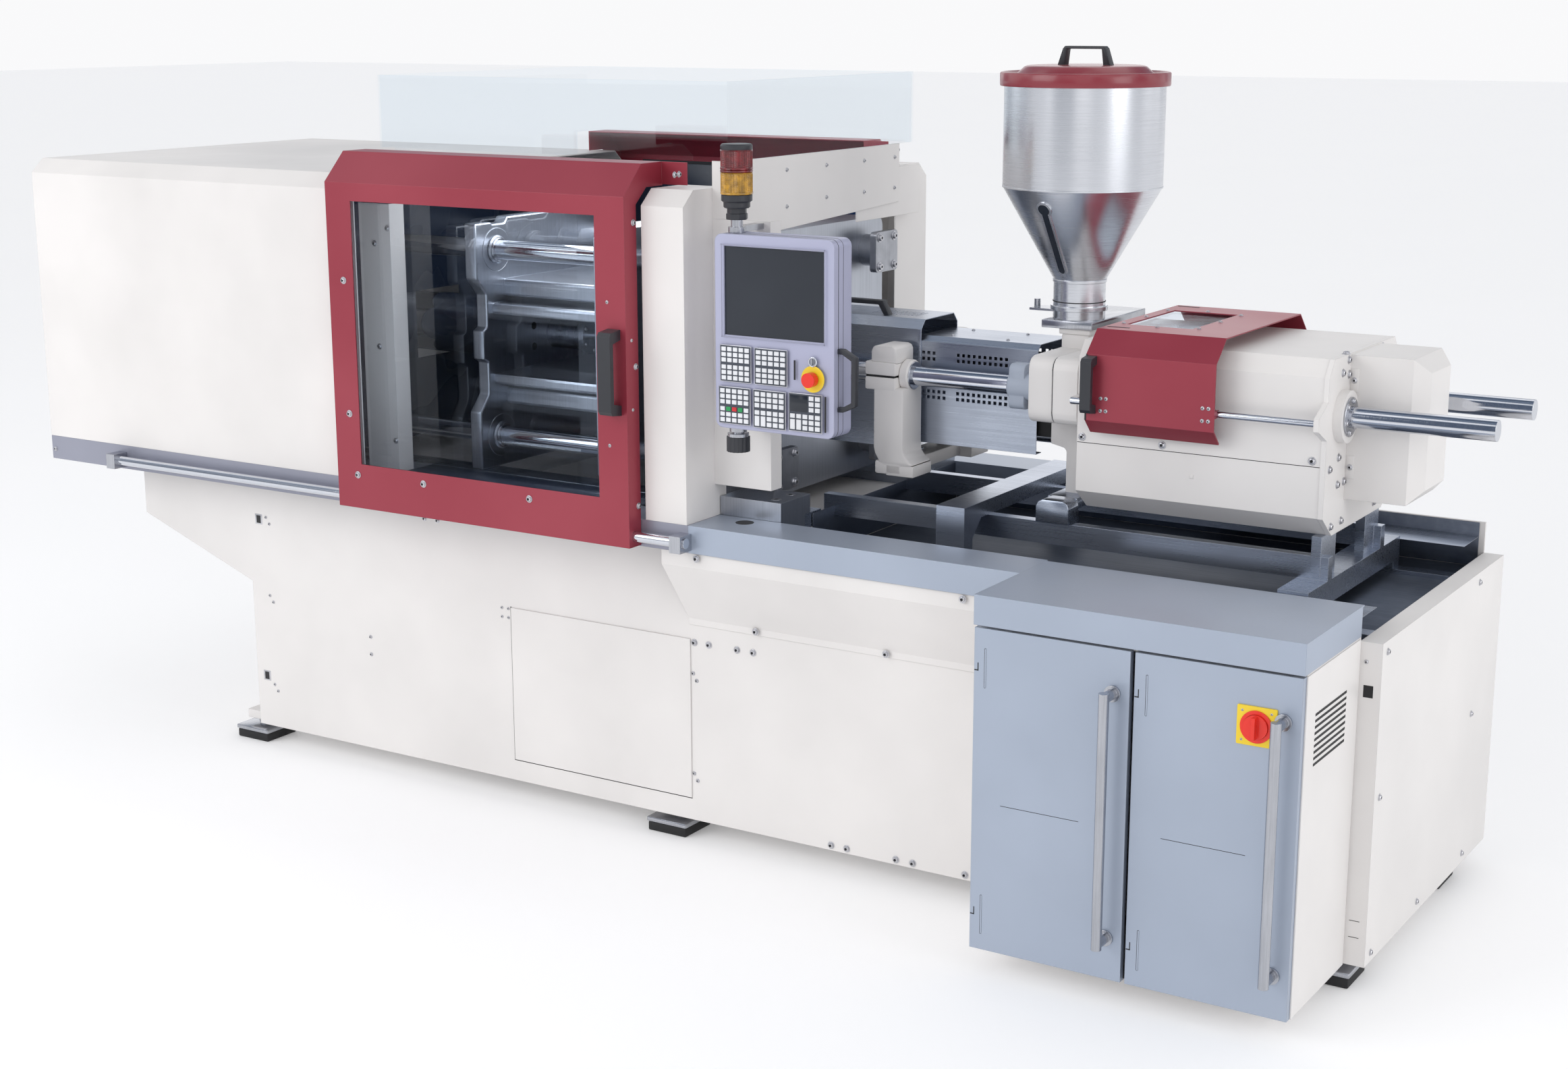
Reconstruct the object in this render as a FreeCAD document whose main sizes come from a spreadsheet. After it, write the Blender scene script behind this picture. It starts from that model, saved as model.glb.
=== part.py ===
import FreeCAD, Part
import math
import os

from FreeCAD import Placement, Rotation, Vector

# Injection moulding machine: clamp unit on the left, injection unit on the right.
# X runs from the clamp end to the injection end, Y from the operator to the rear, Z up.
# The origin is under the middle of the machine, on the floor. Lengths are in millimetres.

doc = FreeCAD.newDocument("moulding_machine")

SIZES = {
    # --- planes that the whole machine is laid out from
    "centre_y": 118.0, "axis_z": 1266.0, "bed_top": 910.0, "base_bottom": 60.0,
    # --- clearances
    "slide_gap": 0.3, "running_gap": 0.1, "press_gap": 0.05, "panel_gap": 3.0, "cover_gap": 2.0,
    # --- base
    "base_left": -1445.0, "base_right": 1960.0, "base_half": 495.0, "base_wall": 8.0,
    "base_rise": 450.0, "overhang_length": 442.0, "overhang_rise": 161.0, "deck_drop": 40.0,
    "trough_left": 430.0, "trough_depth": 120.0,
    "chute_left": -620.0, "chute_length": 680.0, "chute_half": 265.0,
    "hatch_left": -446.0, "hatch_length": 606.0, "hatch_bottom": 123.0, "hatch_height": 444.0,
    "hatch_rim": 30.0, "hatch_sheet": 3.0,
    # --- slide rails of the moving platen and of the injection carriage
    "clamp_rail_width": 80.0, "carriage_rail_width": 46.0,
    "carriage_rail_half": 319.0, "carriage_rail_height": 12.0, "carriage_rail_end": 1940.0,
    # --- side channels, bed cap and slanted cover
    "rail_depth": 72.0, "sheet": 3.0, "cover_half": 625.0, "cap_left": 246.0,
    "cap_length": 940.0, "cap_lip": 475.0, "slant_left": 157.0, "slant_fold": 40.0,
    "slant_foot": 625.0,
    # --- clamp end cover and column cover
    "machine_left": -2142.5, "cover_right": -850.0, "cover_top": 1755.0,
    "cover_inset": 46.0, "cover_drop": 40.0, "cover_wall": 4.0,
    "column_left": 114.0, "column_width": 128.0, "column_back": 442.0, "column_wall": 3.0,
    # --- safety doors
    "door_left": -900.0, "door_width": 1000.0, "door_half": 679.0, "door_bottom": 842.0,
    "door_top": 1817.0, "door_inset": 78.0, "door_drop": 78.0, "door_wall": 3.0,
    "door_flange_reach": 15.0, "door_roof": 60.0,
    "window_left": -812.0, "window_width": 819.0, "window_bottom": 967.0,
    "window_height": 723.0, "pane_rim": 20.0, "pane": 5.0,
    "handle_left": 43.0, "handle_width": 40.0, "handle_bottom": 1187.0, "handle_height": 220.0,
    "handle_reach": 46.0, "handle_bar": 14.0, "handle_foot": 26.0,
    "arm_length": 78.0, "arm_height": 57.0,
    "guide_radius": 13.7, "guide_half": 655.0, "guide_z": 870.0, "guide_left": -1850.0,
    "guide_right": 260.0, "guide_clamp": 44.0, "guide_clamp_width": 34.0,
    "guide_left_clamp": -1844.0, "guide_right_clamp": 222.0, "guide_clamp_bottom": 846.0,
    # --- platens and tie bars
    "platen_left": 80.0, "platen_thick": 170.0, "platen_half": 355.0, "platen_height": 710.0,
    "platen_corner": 30.0, "tie_y": 263.7, "tie_z": 265.5, "tie_radius": 27.0,
    "tie_plate_x": 297.0, "tie_plate_thick": 20.0, "tie_plate_width": 120.0,
    "tie_plate_height": 112.0, "tie_neck": 44.0, "tie_bolt": 40.0, "tie_plate_round": 12.0,
    "ring_radius": 62.5, "ring_depth": 40.0, "nozzle_room": 115.0,
    "mould_bolt": 175.0, "mould_bolt_radius": 8.0, "mould_bolt_depth": 40.0,
    "foot_reach": 180.0, "foot_half": 473.0, "foot_height": 50.0, "foot_width": 143.0,
    "end_platen_left": -1760.0, "end_platen_thick": 200.0, "cylinder_left": -2100.0,
    "cylinder_radius": 170.0, "cylinder_end": 30.0, "piston_radius": 90.0,
    "piston_left": -1718.0, "tie_nut": 46.0, "tie_nut_length": 40.0,
    # --- moving platen
    "moving_back": -690.0, "back_plate": 40.0, "moving_face": -140.0, "face_plate": 100.0,
    "lug_low": 190.0, "lug_slant": 48.0, "recess": 42.0, "pad_half": 40.0, "pad_inset": 20.0,
    "pad_slant": 10.0, "rib_z": 100.0, "rib_thick": 32.0, "rib_half": 290.0,
    "outer_rib_z": 155.0, "outer_rib_thick": 50.0, "outer_rib_half": 235.0,
    "ejector_room": 75.0, "ejector_radius": 45.5, "ejector_flange": 56.0,
    "ejector_length": 140.0, "ejector_flange_thick": 16.0, "ejector_rod": 14.0,
    "ejector_rod_left": -600.0, "ejector_rod_right": -142.0, "piston_flange": 125.0,
    "piston_flange_thick": 28.0,
    # --- inner guards above and beside the mould space
    "post_left": -950.0, "post_width": 113.0, "post_top": 1667.0, "post_fold": 60.0,
    "guard_left": -860.0, "guard_right": 290.0, "guard_back": 455.0, "guard_top": 2018.0,
    "guard_bottom": 1822.0, "guard_pane": 4.0, "side_sheet": 4.0, "side_half_rear": 378.0,
    "side_low_front": 1620.0, "side_low_rear": 1660.0, "rear_side_top": 1757.0,
    "rear_side_front": 150.0, "rear_side_half": 505.0,
    # --- operator panel
    "mount_width": 173.0, "mount_bottom": 995.0, "mount_top": 1678.0, "mount_fold": 50.0,
    "post_x": 387.0, "post_reach": 108.0, "post_radius": 15.0, "post_low": 1115.0,
    "post_high": 1692.0, "collar_radius": 22.0, "collar_height": 14.0,
    "gland_radius": 27.0, "gland_height": 46.0, "bracket_height": 20.0,
    "panel_left": 349.0, "panel_width": 342.0, "panel_bottom": 1180.0, "panel_height": 480.0,
    "panel_reach": 150.0, "panel_depth": 80.0, "panel_round": 20.0,
    "screen_left": 376.0, "screen_width": 287.0, "screen_bottom": 1413.0,
    "screen_height": 218.0, "screen_recess": 6.0, "screen_glass": 3.0,
    "stop_x": 635.0, "stop_z": 1324.0, "stop_radius": 18.0, "stop_collar": 27.0,
    "stop_collar_height": 6.0, "stop_height": 20.0, "stop_travel": 5.0, "stop_stem": 8.0,
    "stop_stem_depth": 24.0,
    "key_x": 635.0, "key_z": 1366.0, "key_radius": 9.0, "key_height": 5.0,
    "key_stem": 5.0, "key_depth": 16.0, "key_grip": 3.0, "key_grip_height": 9.0,
    "lamp_radius": 40.5, "lamp_base": 33.0, "lamp_top": 1875.0, "lamp_nut": 26.0,
    "lamp_nut_height": 28.0, "lamp_cap": 14.0, "lamp_groove": 3.0,
    # --- injection unit: guide rods, casting and barrel
    "rod_y": 158.4, "rod_radius": 25.0, "rod_left": 150.0, "machine_right": 2142.5,
    "barrel_radius": 42.0, "barrel_left": 330.0, "nozzle_radius": 20.0, "nozzle_left": 130.0,
    "nozzle_tip": 9.0, "nozzle_taper": 40.0, "screw_radius": 16.0, "screw_bore": 16.1,
    "screw_left": 360.0, "barrel_right": 1112.0,
    "feed_left": 1005.0, "feed_width": 135.0, "feed_half": 235.0, "feed_low": 1188.0,
    "feed_high": 1356.0, "feed_round": 26.0, "tower_left": 1006.0, "tower_width": 86.0,
    "tower_half": 65.0, "tower_top": 1405.0, "throat": 30.0, "leg_left": 1048.0,
    "leg_width": 62.0, "leg_half": 90.0, "saddle_left": 1030.0, "saddle_width": 90.0,
    "saddle_half": 226.0, "saddle_height": 60.0, "boss_reach": 55.0, "boss_low": 1110.0,
    "boss_high": 1330.0, "slide_plate_left": 960.0, "slide_plate_width": 140.0,
    "slide_plate_front": 72.0, "slide_plate_back": 262.0, "slide_plate_thick": 20.0,
    "rod_cap": 38.0, "rod_cap_length": 22.0,
    # --- shrouds over the barrel
    "shroud_left": 622.0, "shroud_right": 966.0, "shroud_half": 98.4, "shroud_low": 1080.0,
    "shroud_high": 1362.0, "shroud_wall": 2.0, "shroud_inset": 14.0, "shroud_drop": 14.0,
    "guard_length": 329.0, "nose_left": 300.0, "nose_low": 1059.0, "nose_high": 1402.0,
    "nose_inset": 21.5, "nose_drop": 24.0,
    # --- front bracket of the injection unit
    "split_left": 526.0, "split_width": 90.0, "split_half": 215.0, "split_low": 1229.0,
    "hump_high": 1345.0, "arm_left": 552.0, "arm_width": 89.0, "arm_low": 1034.0,
    "arm_inner": 112.0, "toe_left": 590.0, "toe_width": 81.0, "toe_low": 1006.0,
    "arm_thick": 40.0,
    # --- carriage
    "beam_left": 400.0, "beam_right": 1785.0, "beam_y": 195.0, "beam_width": 30.0,
    "beam_low": 880.0, "beam_high": 936.0, "yoke_left": 810.0, "yoke_width": 80.0,
    "yoke_half": 342.0, "yoke_high": 976.0, "yoke_thick": 40.0, "yoke_leg": 46.0,
    "strut_left": 1742.0, "strut_width": 24.0, "strut_in": 109.0, "strut_out": 212.0,
    "cross_left": 1710.0, "cross_half": 455.0, "cross_width": 75.0,
    "cross_low": 822.0, "cross_high": 880.0,
    # --- drive housing, end plate, motor cover
    "housing_left": 1149.0, "housing_right": 1766.0, "housing_half": 249.5,
    "housing_low": 984.0, "housing_high": 1407.0, "housing_foot": 67.7, "housing_rise": 51.4,
    "housing_inset": 31.9, "housing_drop": 40.3, "housing_wall": 4.0, "web_left": 1420.0,
    "web_thick": 30.0, "shaft_radius": 40.0, "shaft_right": 1700.0, "shaft_nose": 24.0,
    "cover_rod_half": 290.0, "cover_rod_radius": 8.0, "cover_lug": 18.0,
    "end_plate_thick": 13.0, "end_plate_half": 252.0, "ear_half": 312.0, "ear_height": 90.0,
    "flange_radius": 62.0, "flange_thick": 21.0, "motor_length": 148.5, "motor_end": 33.5,
    "motor_half": 108.7, "motor_low": 1058.5, "motor_high": 1404.0, "motor_wall": 4.0,
    # --- sliding drive cover
    "red_left": 1195.5, "red_length": 330.4, "red_half": 310.2, "red_high": 1441.0,
    "red_inset": 59.5, "red_drop": 55.0, "red_side": 1225.3, "red_hem": 35.0,
    "red_wall": 3.0, "red_window_left": 1228.0, "red_window_width": 170.0,
    "red_window_half": 150.0, "grip_left": 1196.0, "grip_width": 28.0, "grip_low": 1243.0,
    "grip_height": 140.0, "grip_reach": 34.0, "grip_bar": 12.0, "grip_foot": 20.0,
    # --- hopper
    "hopper_x": 1030.0, "hopper_radius": 200.5, "hopper_wall": 2.0, "hopper_top": 2026.0,
    "cone_top": 1758.0, "cone_bottom": 1524.0, "neck_radius": 66.0, "neck_wall": 4.0,
    "gate_z": 1444.0, "gate_thick": 6.0, "gate_half": 30.0, "gate_left": 905.0,
    "gate_right": 1080.0, "gate_knob": 8.0, "gate_knob_length": 26.0,
    "lid_radius": 211.5, "lid_skirt": 34.0, "lid_wall": 3.0, "lid_rise": 16.0,
    "lid_top": 2040.0, "lid_grip_top": 2102.0, "lid_grip_half": 75.0, "lid_grip_width": 24.0,
    "lid_grip_bar": 12.0,
    # --- control cabinet and end cabinet
    "cabinet_left": 1186.0, "cabinet_width": 777.0, "cabinet_half": 855.0,
    "cabinet_door": 18.0, "cabinet_sheet": 3.0, "cabinet_base": 60.0, "cabinet_top": 834.0,
    "cap_high": 910.0, "cap_back": 485.0, "door_edge": 3.0, "left_door_right": 1570.0,
    "right_door_left": 1581.0, "pull_reach": 60.0, "pull_radius": 12.0, "pull_flange": 19.0,
    "pull_flange_thick": 6.0, "pull_low": 148.0, "pull_high": 745.0, "left_pull_x": 1531.0,
    "right_pull_x": 1921.5, "switch_x": 1863.0, "switch_z": 714.0, "switch_radius": 27.0,
    "switch_height": 12.0, "switch_grip": 8.0, "switch_grip_height": 14.0,
    "end_cabinet_right": 2011.0, "end_cabinet_half": 488.0, "end_cabinet_top": 828.0,
    # --- levelling feet
    "foot_x_left": -1485.0, "foot_x_middle": 71.0, "foot_x_right": 1915.0,
    "foot_front": 430.0, "foot_rear": 430.0, "foot_rear_right": 280.0,
    "foot_pad_x": 130.0, "foot_pad_y": 130.0, "pad_height": 26.0, "foot_plate": 14.0,
    "foot_stud": 12.0, "lug_half": 38.0, "lug_height": 26.0,
    # --- screws
    "screw_head": 8.0, "screw_head_height": 8.0, "screw_socket": 4.0, "screw_socket_depth": 4.0,
}


class Size:
    """A number from the sheet, or worked out from such numbers, with its expression."""

    def __init__(self, value, text=None):
        self.value = float(value)
        self.text = text if text is not None else repr(float(value))

    def _with(self, other, sign, value):
        other = other if isinstance(other, Size) else Size(other)
        return Size(value(self.value, other.value), f"({self.text} {sign} {other.text})")

    def __add__(self, other):
        return self._with(other, "+", lambda a, b: a + b)

    def __sub__(self, other):
        return self._with(other, "-", lambda a, b: a - b)

    def __mul__(self, other):
        return self._with(other, "*", lambda a, b: a * b)

    def __truediv__(self, other):
        return self._with(other, "/", lambda a, b: a / b)

    def __neg__(self):
        return Size(0.0) - self

    def __lt__(self, other):
        return self.value < other.value


class Sheet:
    """The spreadsheet of driving dimensions; each alias reads as an attribute."""

    def __init__(self, sizes):
        self.cells = doc.addObject("Spreadsheet::Sheet", "sizes")
        for row, (alias, value) in enumerate(sizes.items(), start=1):
            self.cells.set(f"A{row}", alias)
            self.cells.set(f"B{row}", repr(value))
            self.cells.setAlias(f"B{row}", alias)
        doc.recompute()
        for alias in sizes:
            setattr(self, alias, Size(self.cells.get(alias), f"sizes.{alias}"))


s = Sheet(SIZES)
PARTS = []
PLANES = {"x": ("YZ_Plane", False), "y": ("XZ_Plane", True), "z": ("XY_Plane", False)}
TURNS = {
    "x": Rotation(Vector(0, 1, 0), 90),
    "y": Rotation(Vector(1, 0, 0), -90),
    "z": Rotation(),
}


# ---------------------------------------------------------------- building blocks

def bind(item, prop, size):
    """Bind a property to the sheet."""
    item.setExpression(prop, size.text)


def place(item, x, y, z, turn=Rotation()):
    """Put an object at a bound position."""
    item.Placement = Placement(Vector(x.value, y.value, z.value), turn)
    for name, size in zip("xyz", (x, y, z)):
        bind(item, f"Placement.Base.{name}", size)
    return item


def across(low, high):
    """Limits along Y, given from the machine's centre plane."""
    return s.centre_y + low, s.centre_y + high


def beside(side, near, far):
    """Limits along Y between two distances from the centre plane, on one side of it."""
    return across(near, far) if side > 0 else across(-far, -near)


def both(half):
    """Limits along Y that lie evenly about the machine's centre plane."""
    return across(-half, half)


def block(x, y, z):
    """Box from its limits along each axis."""
    item = doc.addObject("Part::Box", "block")
    for prop, (low, high) in zip(("Length", "Width", "Height"), (x, y, z)):
        bind(item, prop, high - low)
    return place(item, x[0], y[0], z[0])


def rod(axis, centre, radius, span):
    """Cylinder along an axis; centre is its place on the other two axes, in order."""
    item = doc.addObject("Part::Cylinder", "rod")
    bind(item, "Radius", radius)
    bind(item, "Height", span[1] - span[0])
    spot = list(centre)
    spot.insert("xyz".index(axis), span[0])
    return place(item, *spot, TURNS[axis])


def cone(centre, radius_low, radius_high, span):
    """Upright cone from its radii at both ends."""
    item = doc.addObject("Part::Cone", "cone")
    bind(item, "Radius1", radius_low)
    bind(item, "Radius2", radius_high)
    bind(item, "Height", span[1] - span[0])
    return place(item, centre[0], centre[1], span[0])


def tip(radius_low, radius_high, span):
    """Cone along X on the injection axis."""
    item = doc.addObject("Part::Cone", "tip")
    bind(item, "Radius1", radius_low)
    bind(item, "Radius2", radius_high)
    bind(item, "Height", span[1] - span[0])
    return place(item, span[0], s.centre_y, s.axis_z, TURNS["x"])


def outline(body, plane, points):
    """Closed sketch of straight lines; each corner is held by its two distances."""
    sketch = body.newObject("Sketcher::SketchObject", "outline")
    origin = next(f for f in body.Origin.OriginFeatures if f.Role == plane)
    sketch.AttachmentSupport = [(origin, "")]
    sketch.MapMode = "FlatFace"
    corners = [Vector(u.value, v.value, 0) for u, v in points]
    for start, end in zip(corners, corners[1:] + corners[:1]):
        sketch.addGeometry(Part.LineSegment(start, end), False)
    count = len(points)
    import Sketcher
    for index in range(count):
        sketch.addConstraint(Sketcher.Constraint("Coincident", index, 2, (index + 1) % count, 1))
    for index, (u, v) in enumerate(points):
        for kind, size, axis in (("DistanceX", u, -2), ("DistanceY", v, -1)):
            if abs(size.value) < 1e-9:
                sketch.addConstraint(Sketcher.Constraint("PointOnObject", index, 1, axis))
                continue
            made = Sketcher.Constraint(kind, -1, 1, index, 1, size.value)
            held = sketch.addConstraint(made)
            name = f"{kind}_{index}"
            sketch.renameConstraint(held, name)
            bind(sketch, f"Constraints.{name}", size)
    return sketch


def prism(axis, points, span, rounding=None):
    """Pad of an outline along an axis, with the edges along that axis rounded if asked."""
    body = doc.addObject("PartDesign::Body", "prism")
    plane, backwards = PLANES[axis]
    low_u = min((u for u, _ in points), key=lambda size: size.value)
    low_v = min((v for _, v in points), key=lambda size: size.value)
    sketch = outline(body, plane, [(u - low_u, v - low_v) for u, v in points])
    pad = body.newObject("PartDesign::Pad", "pad")
    pad.Profile = sketch
    pad.Reversed = backwards
    bind(pad, "Length", span[1] - span[0])
    body.Tip = pad
    if rounding is not None:
        doc.recompute()
        way = {"x": Vector(1, 0, 0), "y": Vector(0, 1, 0), "z": Vector(0, 0, 1)}[axis]
        edges = [
            f"Edge{number}" for number, edge in enumerate(pad.Shape.Edges, start=1)
            if abs(edge.tangentAt(edge.FirstParameter).dot(way)) > 0.999
        ]
        fillet = body.newObject("PartDesign::Fillet", "fillet")
        fillet.Base = (pad, edges)
        bind(fillet, "Radius", rounding)
        body.Tip = fillet
    spot = {"x": (span[0], low_u, low_v), "y": (low_u, span[0], low_v),
            "z": (low_u, low_v, span[0])}[axis]
    return place(body, *spot)


def rectangle(u, v):
    """Corner points of a rectangle from its limits."""
    return [(u[0], v[0]), (u[1], v[0]), (u[1], v[1]), (u[0], v[1])]


def fuse(*items):
    """One solid from several."""
    item = doc.addObject("Part::MultiFuse", "fuse")
    item.Shapes = list(items)
    item.Refine = True
    return item


def group(*items):
    """Separate solids that share a node."""
    item = doc.addObject("Part::Compound", "group")
    item.Links = list(items)
    return item


def cut(base, *tools):
    """A solid less one or more others."""
    item = doc.addObject("Part::Cut", "cut")
    item.Base = base
    item.Tool = tools[0] if len(tools) == 1 else fuse(*tools)
    return item


def common(base, tool):
    """What two solids share."""
    item = doc.addObject("Part::Common", "common")
    item.Base = base
    item.Tool = tool
    return item


def mirror(item):
    """A copy on the other side of the machine's centre plane."""
    twin = doc.addObject("Part::Mirroring", "mirror")
    twin.Source = item
    twin.Normal = Vector(0, 1, 0)
    twin.Base = Vector(0, s.centre_y.value, 0)
    bind(twin, "Base.y", s.centre_y)
    return twin


def keep(label, item):
    """Give a finished sub-part its name."""
    item.Label = label
    PARTS.append(item)
    return item


def arch(half, low, high, inset, drop, wall=None, floor_wall=None):
    """Upright section with two chamfered top corners: full, or the bent sheet if walled."""
    left, right = both(half)
    skin = [(left, low), (left, high - drop), (left + inset, high),
            (right - inset, high), (right, high - drop), (right, low)]
    if wall is None:
        return skin
    bottom = low if floor_wall is None else low + floor_wall
    lining = [(right - wall, bottom), (right - wall, high - drop),
              (right - inset, high - wall), (left + inset, high - wall),
              (left + wall, high - drop), (left + wall, bottom)]
    return skin + lining


TIE_SPOTS = [
    (s.centre_y + s.tie_y * a, s.axis_z + s.tie_z * b) for a in (-1, 1) for b in (-1, 1)
]
base_front, base_rear = both(s.base_half)
deck_top = s.bed_top - s.deck_drop
platen_low = s.axis_z - s.platen_height / 2
platen_high = s.axis_z + s.platen_height / 2
platen_right = s.platen_left + s.platen_thick
door_right = s.door_left + s.door_width
column_right = s.column_left + s.column_width
cap_right = s.cap_left + s.cap_length
overhang_left = s.base_left - s.overhang_length
trough_floor = s.bed_top - s.trough_depth
wall_top = s.bed_top - s.sheet


def shoe_y(side):
    """Limits along Y of a carriage rail."""
    half = s.carriage_rail_width / 2
    return beside(side, s.carriage_rail_half - half, s.carriage_rail_half + half)


def injection_axis():
    """Centre of the injection axis across X."""
    return s.centre_y, s.axis_z


def rod_spots():
    """Centres of the two guide rods across X."""
    return [(s.centre_y + s.rod_y * side, s.axis_z) for side in (-1, 1)]


# ---------------------------------------------------------------- base and bed

def make_base():
    """Welded base: a hollow body with a raised clamp bed, a trough and a parts chute."""
    low, rise = s.base_bottom, s.base_bottom + s.base_rise
    knee = rise + s.overhang_rise
    skin = [(s.base_left, low), (s.base_right, low), (s.base_right, trough_floor),
            (s.trough_left, trough_floor), (s.trough_left, deck_top),
            (overhang_left, deck_top), (overhang_left, knee), (s.base_left, rise)]
    w = s.base_wall
    room = [(s.base_left + w, low + w), (s.base_right - w, low + w),
            (s.base_right - w, trough_floor - w), (s.trough_left - w, trough_floor - w),
            (s.trough_left - w, deck_top - w), (overhang_left + w, deck_top - w),
            (overhang_left + w, knee + w), (s.base_left + w, rise + w)]
    shell = cut(prism("y", skin, (base_front, base_rear)),
                prism("y", room, (base_front + w, base_rear - w)))
    ledge = trough_floor
    walls = [
        block((overhang_left, s.base_right), (base_front, base_front + w), (ledge, wall_top)),
        block((overhang_left, s.base_right), (base_rear - w, base_rear), (ledge, wall_top)),
    ]
    for y in (s.centre_y - s.foot_front, s.centre_y + s.foot_rear):
        walls.append(block((s.foot_x_left - s.lug_half, s.base_left + w),
                           (y - s.lug_half, y + s.lug_half), (low, low + s.lug_height)))
    left, right = s.chute_left, s.chute_left + s.chute_length
    duct_y = both(s.chute_half)
    duct = block((left - w, right + w), (duct_y[0] - w, duct_y[1] + w), (low, deck_top))
    chute = block((left, right), duct_y, (low - w, deck_top + w))
    rim = s.hatch_rim
    hatch = block((s.hatch_left + rim, s.hatch_left + s.hatch_length - rim),
                  (base_front - w, base_front + w * 2),
                  (s.hatch_bottom + rim, s.hatch_bottom + s.hatch_height - rim))
    keep("base_frame", cut(fuse(shell, duct, *walls), chute, hatch))


def make_access_panel():
    """Hatch in the base front, hinged at its right edge."""
    y = (base_front - s.hatch_sheet - s.slide_gap, base_front - s.slide_gap)
    leaf = prism("y", rectangle((s.hatch_left, s.hatch_left + s.hatch_length),
                                (s.hatch_bottom, s.hatch_bottom + s.hatch_height)), y)
    keep("access_panel", leaf)


def make_bed_rails():
    """Two ground slideways under the moving platen and two under the carriage."""
    rails = []
    for side in (-1, 1):
        rails.append(block((s.cylinder_left, s.trough_left),
                           beside(side, s.platen_half - s.clamp_rail_width, s.platen_half),
                           (deck_top, s.bed_top)))
        rails.append(block((s.trough_left, s.carriage_rail_end), shoe_y(side),
                           (trough_floor, trough_floor + s.carriage_rail_height)))
    keep("bed_rails", group(*rails))


def make_door_rails():
    """Folded channels along the bed, front and rear, which carry the door guides."""
    front = s.centre_y - s.cover_half
    low, high = s.bed_top - s.rail_depth, s.bed_top
    t = s.sheet
    section = [(front, low), (front + t, low), (front + t, high - t), (base_front - t, high - t),
               (base_front - t, low), (base_front, low), (base_front, high), (front, high)]
    channel = prism("x", section, (s.machine_left, s.cap_left))
    keep("door_rails", group(channel, mirror(channel)))


def make_bed_cap():
    """Bent cap sheet over the bed side beside the injection unit, front and rear."""
    front = s.centre_y - s.cover_half
    back = s.centre_y - s.cap_lip
    low, high = s.bed_top - s.rail_depth, s.bed_top
    t = s.sheet
    section = [(front, low), (front + t, low), (front + t, high - t), (back - t, high - t),
               (back - t, deck_top), (back, deck_top), (back, high), (front, high)]
    cap = prism("x", section, (s.cap_left, cap_right))
    keep("bed_cap", group(cap, mirror(cap)))


def make_slant_cover():
    """Sheet from the bed cap's lower edge slanting back to the base front."""
    front = s.centre_y - s.cover_half + s.sheet * 2
    top = s.bed_top - s.rail_depth
    fold = top - s.slant_fold
    t = s.sheet
    low = s.slant_foot
    section = [(front, top), (front, fold), (base_front - t, low), (base_front - t, low - t * 6),
               (base_front, low - t * 6), (base_front, low + t), (front + t, fold + t),
               (front + t, top - t), (base_front, top - t), (base_front, top)]
    keep("slant_cover", prism("x", section, (s.slant_left, s.cabinet_left)))


def make_feet():
    """Levelling feet: a pad, a steel plate and a stud each."""
    feet = []
    for x, rear in ((s.foot_x_left, s.foot_rear), (s.foot_x_middle, s.foot_rear),
                    (s.foot_x_right, s.foot_rear_right)):
        for y in (s.centre_y - s.foot_front, s.centre_y + rear):
            half_x, half_y = s.foot_pad_x / 2, s.foot_pad_y / 2
            chamfer = s.foot_plate
            zero = Size(0.0)
            pad = block((x - half_x, x + half_x), (y - half_y, y + half_y),
                        (zero, s.pad_height))
            top = s.pad_height + s.foot_plate
            plate = prism("y", [(x - half_x, s.pad_height), (x + half_x, s.pad_height),
                                (x + half_x - chamfer, top), (x - half_x + chamfer, top)],
                          (y - half_y, y + half_y))
            stud = rod("z", (x, y), s.foot_stud, (s.pad_height, s.base_bottom))
            feet.append(fuse(pad, plate, stud))
    keep("levelling_feet", group(*feet))


# ---------------------------------------------------------------- clamp unit

def tie_holes(span, gap):
    """Four bores for the tie bars."""
    return [rod("x", spot, s.tie_radius + gap, span) for spot in TIE_SPOTS]


def mould_bolts(span):
    """Four threaded holes of the mould face."""
    return [rod("x", (s.centre_y + s.mould_bolt * a, s.axis_z + s.mould_bolt * b),
                s.mould_bolt_radius, span) for a in (-1, 1) for b in (-1, 1)]


def make_fixed_platen():
    """Fixed platen with its locating bore, mould bolts and two feet."""
    x = (s.platen_left, platen_right)
    plate = prism("x", rectangle(both(s.platen_half), (s.bed_top, platen_high)), x,
                  s.platen_corner)
    feet = []
    foot_right = platen_right + s.foot_reach
    foot_left = column_right + s.cover_gap
    for side in (-1, 1):
        feet.append(block((foot_left, foot_right),
                          beside(side, s.foot_half - s.foot_width, s.foot_half),
                          (s.bed_top, s.bed_top + s.foot_height)))
        feet.append(block((foot_left, s.trough_left), beside(side, s.platen_half, s.foot_half),
                          (deck_top, s.bed_top)))
    solid = fuse(plate, *feet)
    y, z = injection_axis()
    locating = rod("x", (y, z), s.ring_radius, (x[0] - s.sheet, x[1]))
    room = rod("x", (y, z), s.nozzle_room, (x[0] + s.ring_depth, x[1] + s.sheet))
    rods = [rod("x", spot, s.rod_radius + s.press_gap, (s.rod_left, x[1] + s.sheet))
            for spot in rod_spots()]
    past = (x[0] - s.sheet, x[1] + s.sheet)
    keep("fixed_platen", cut(solid, locating, room, *rods, *tie_holes(past, s.press_gap),
                             *mould_bolts((x[0] - s.sheet, x[0] + s.mould_bolt_depth))))


def make_tie_bars():
    """Four tie bars with the nuts that hold them behind the end platen."""
    bars = []
    for spot in TIE_SPOTS:
        nut = (s.end_platen_left - s.tie_nut_length, s.end_platen_left)
        bars.append(fuse(rod("x", spot, s.tie_radius, (nut[0], s.tie_plate_x)),
                         rod("x", spot, s.tie_nut, nut)))
    keep("tie_bars", group(*bars))


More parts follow.
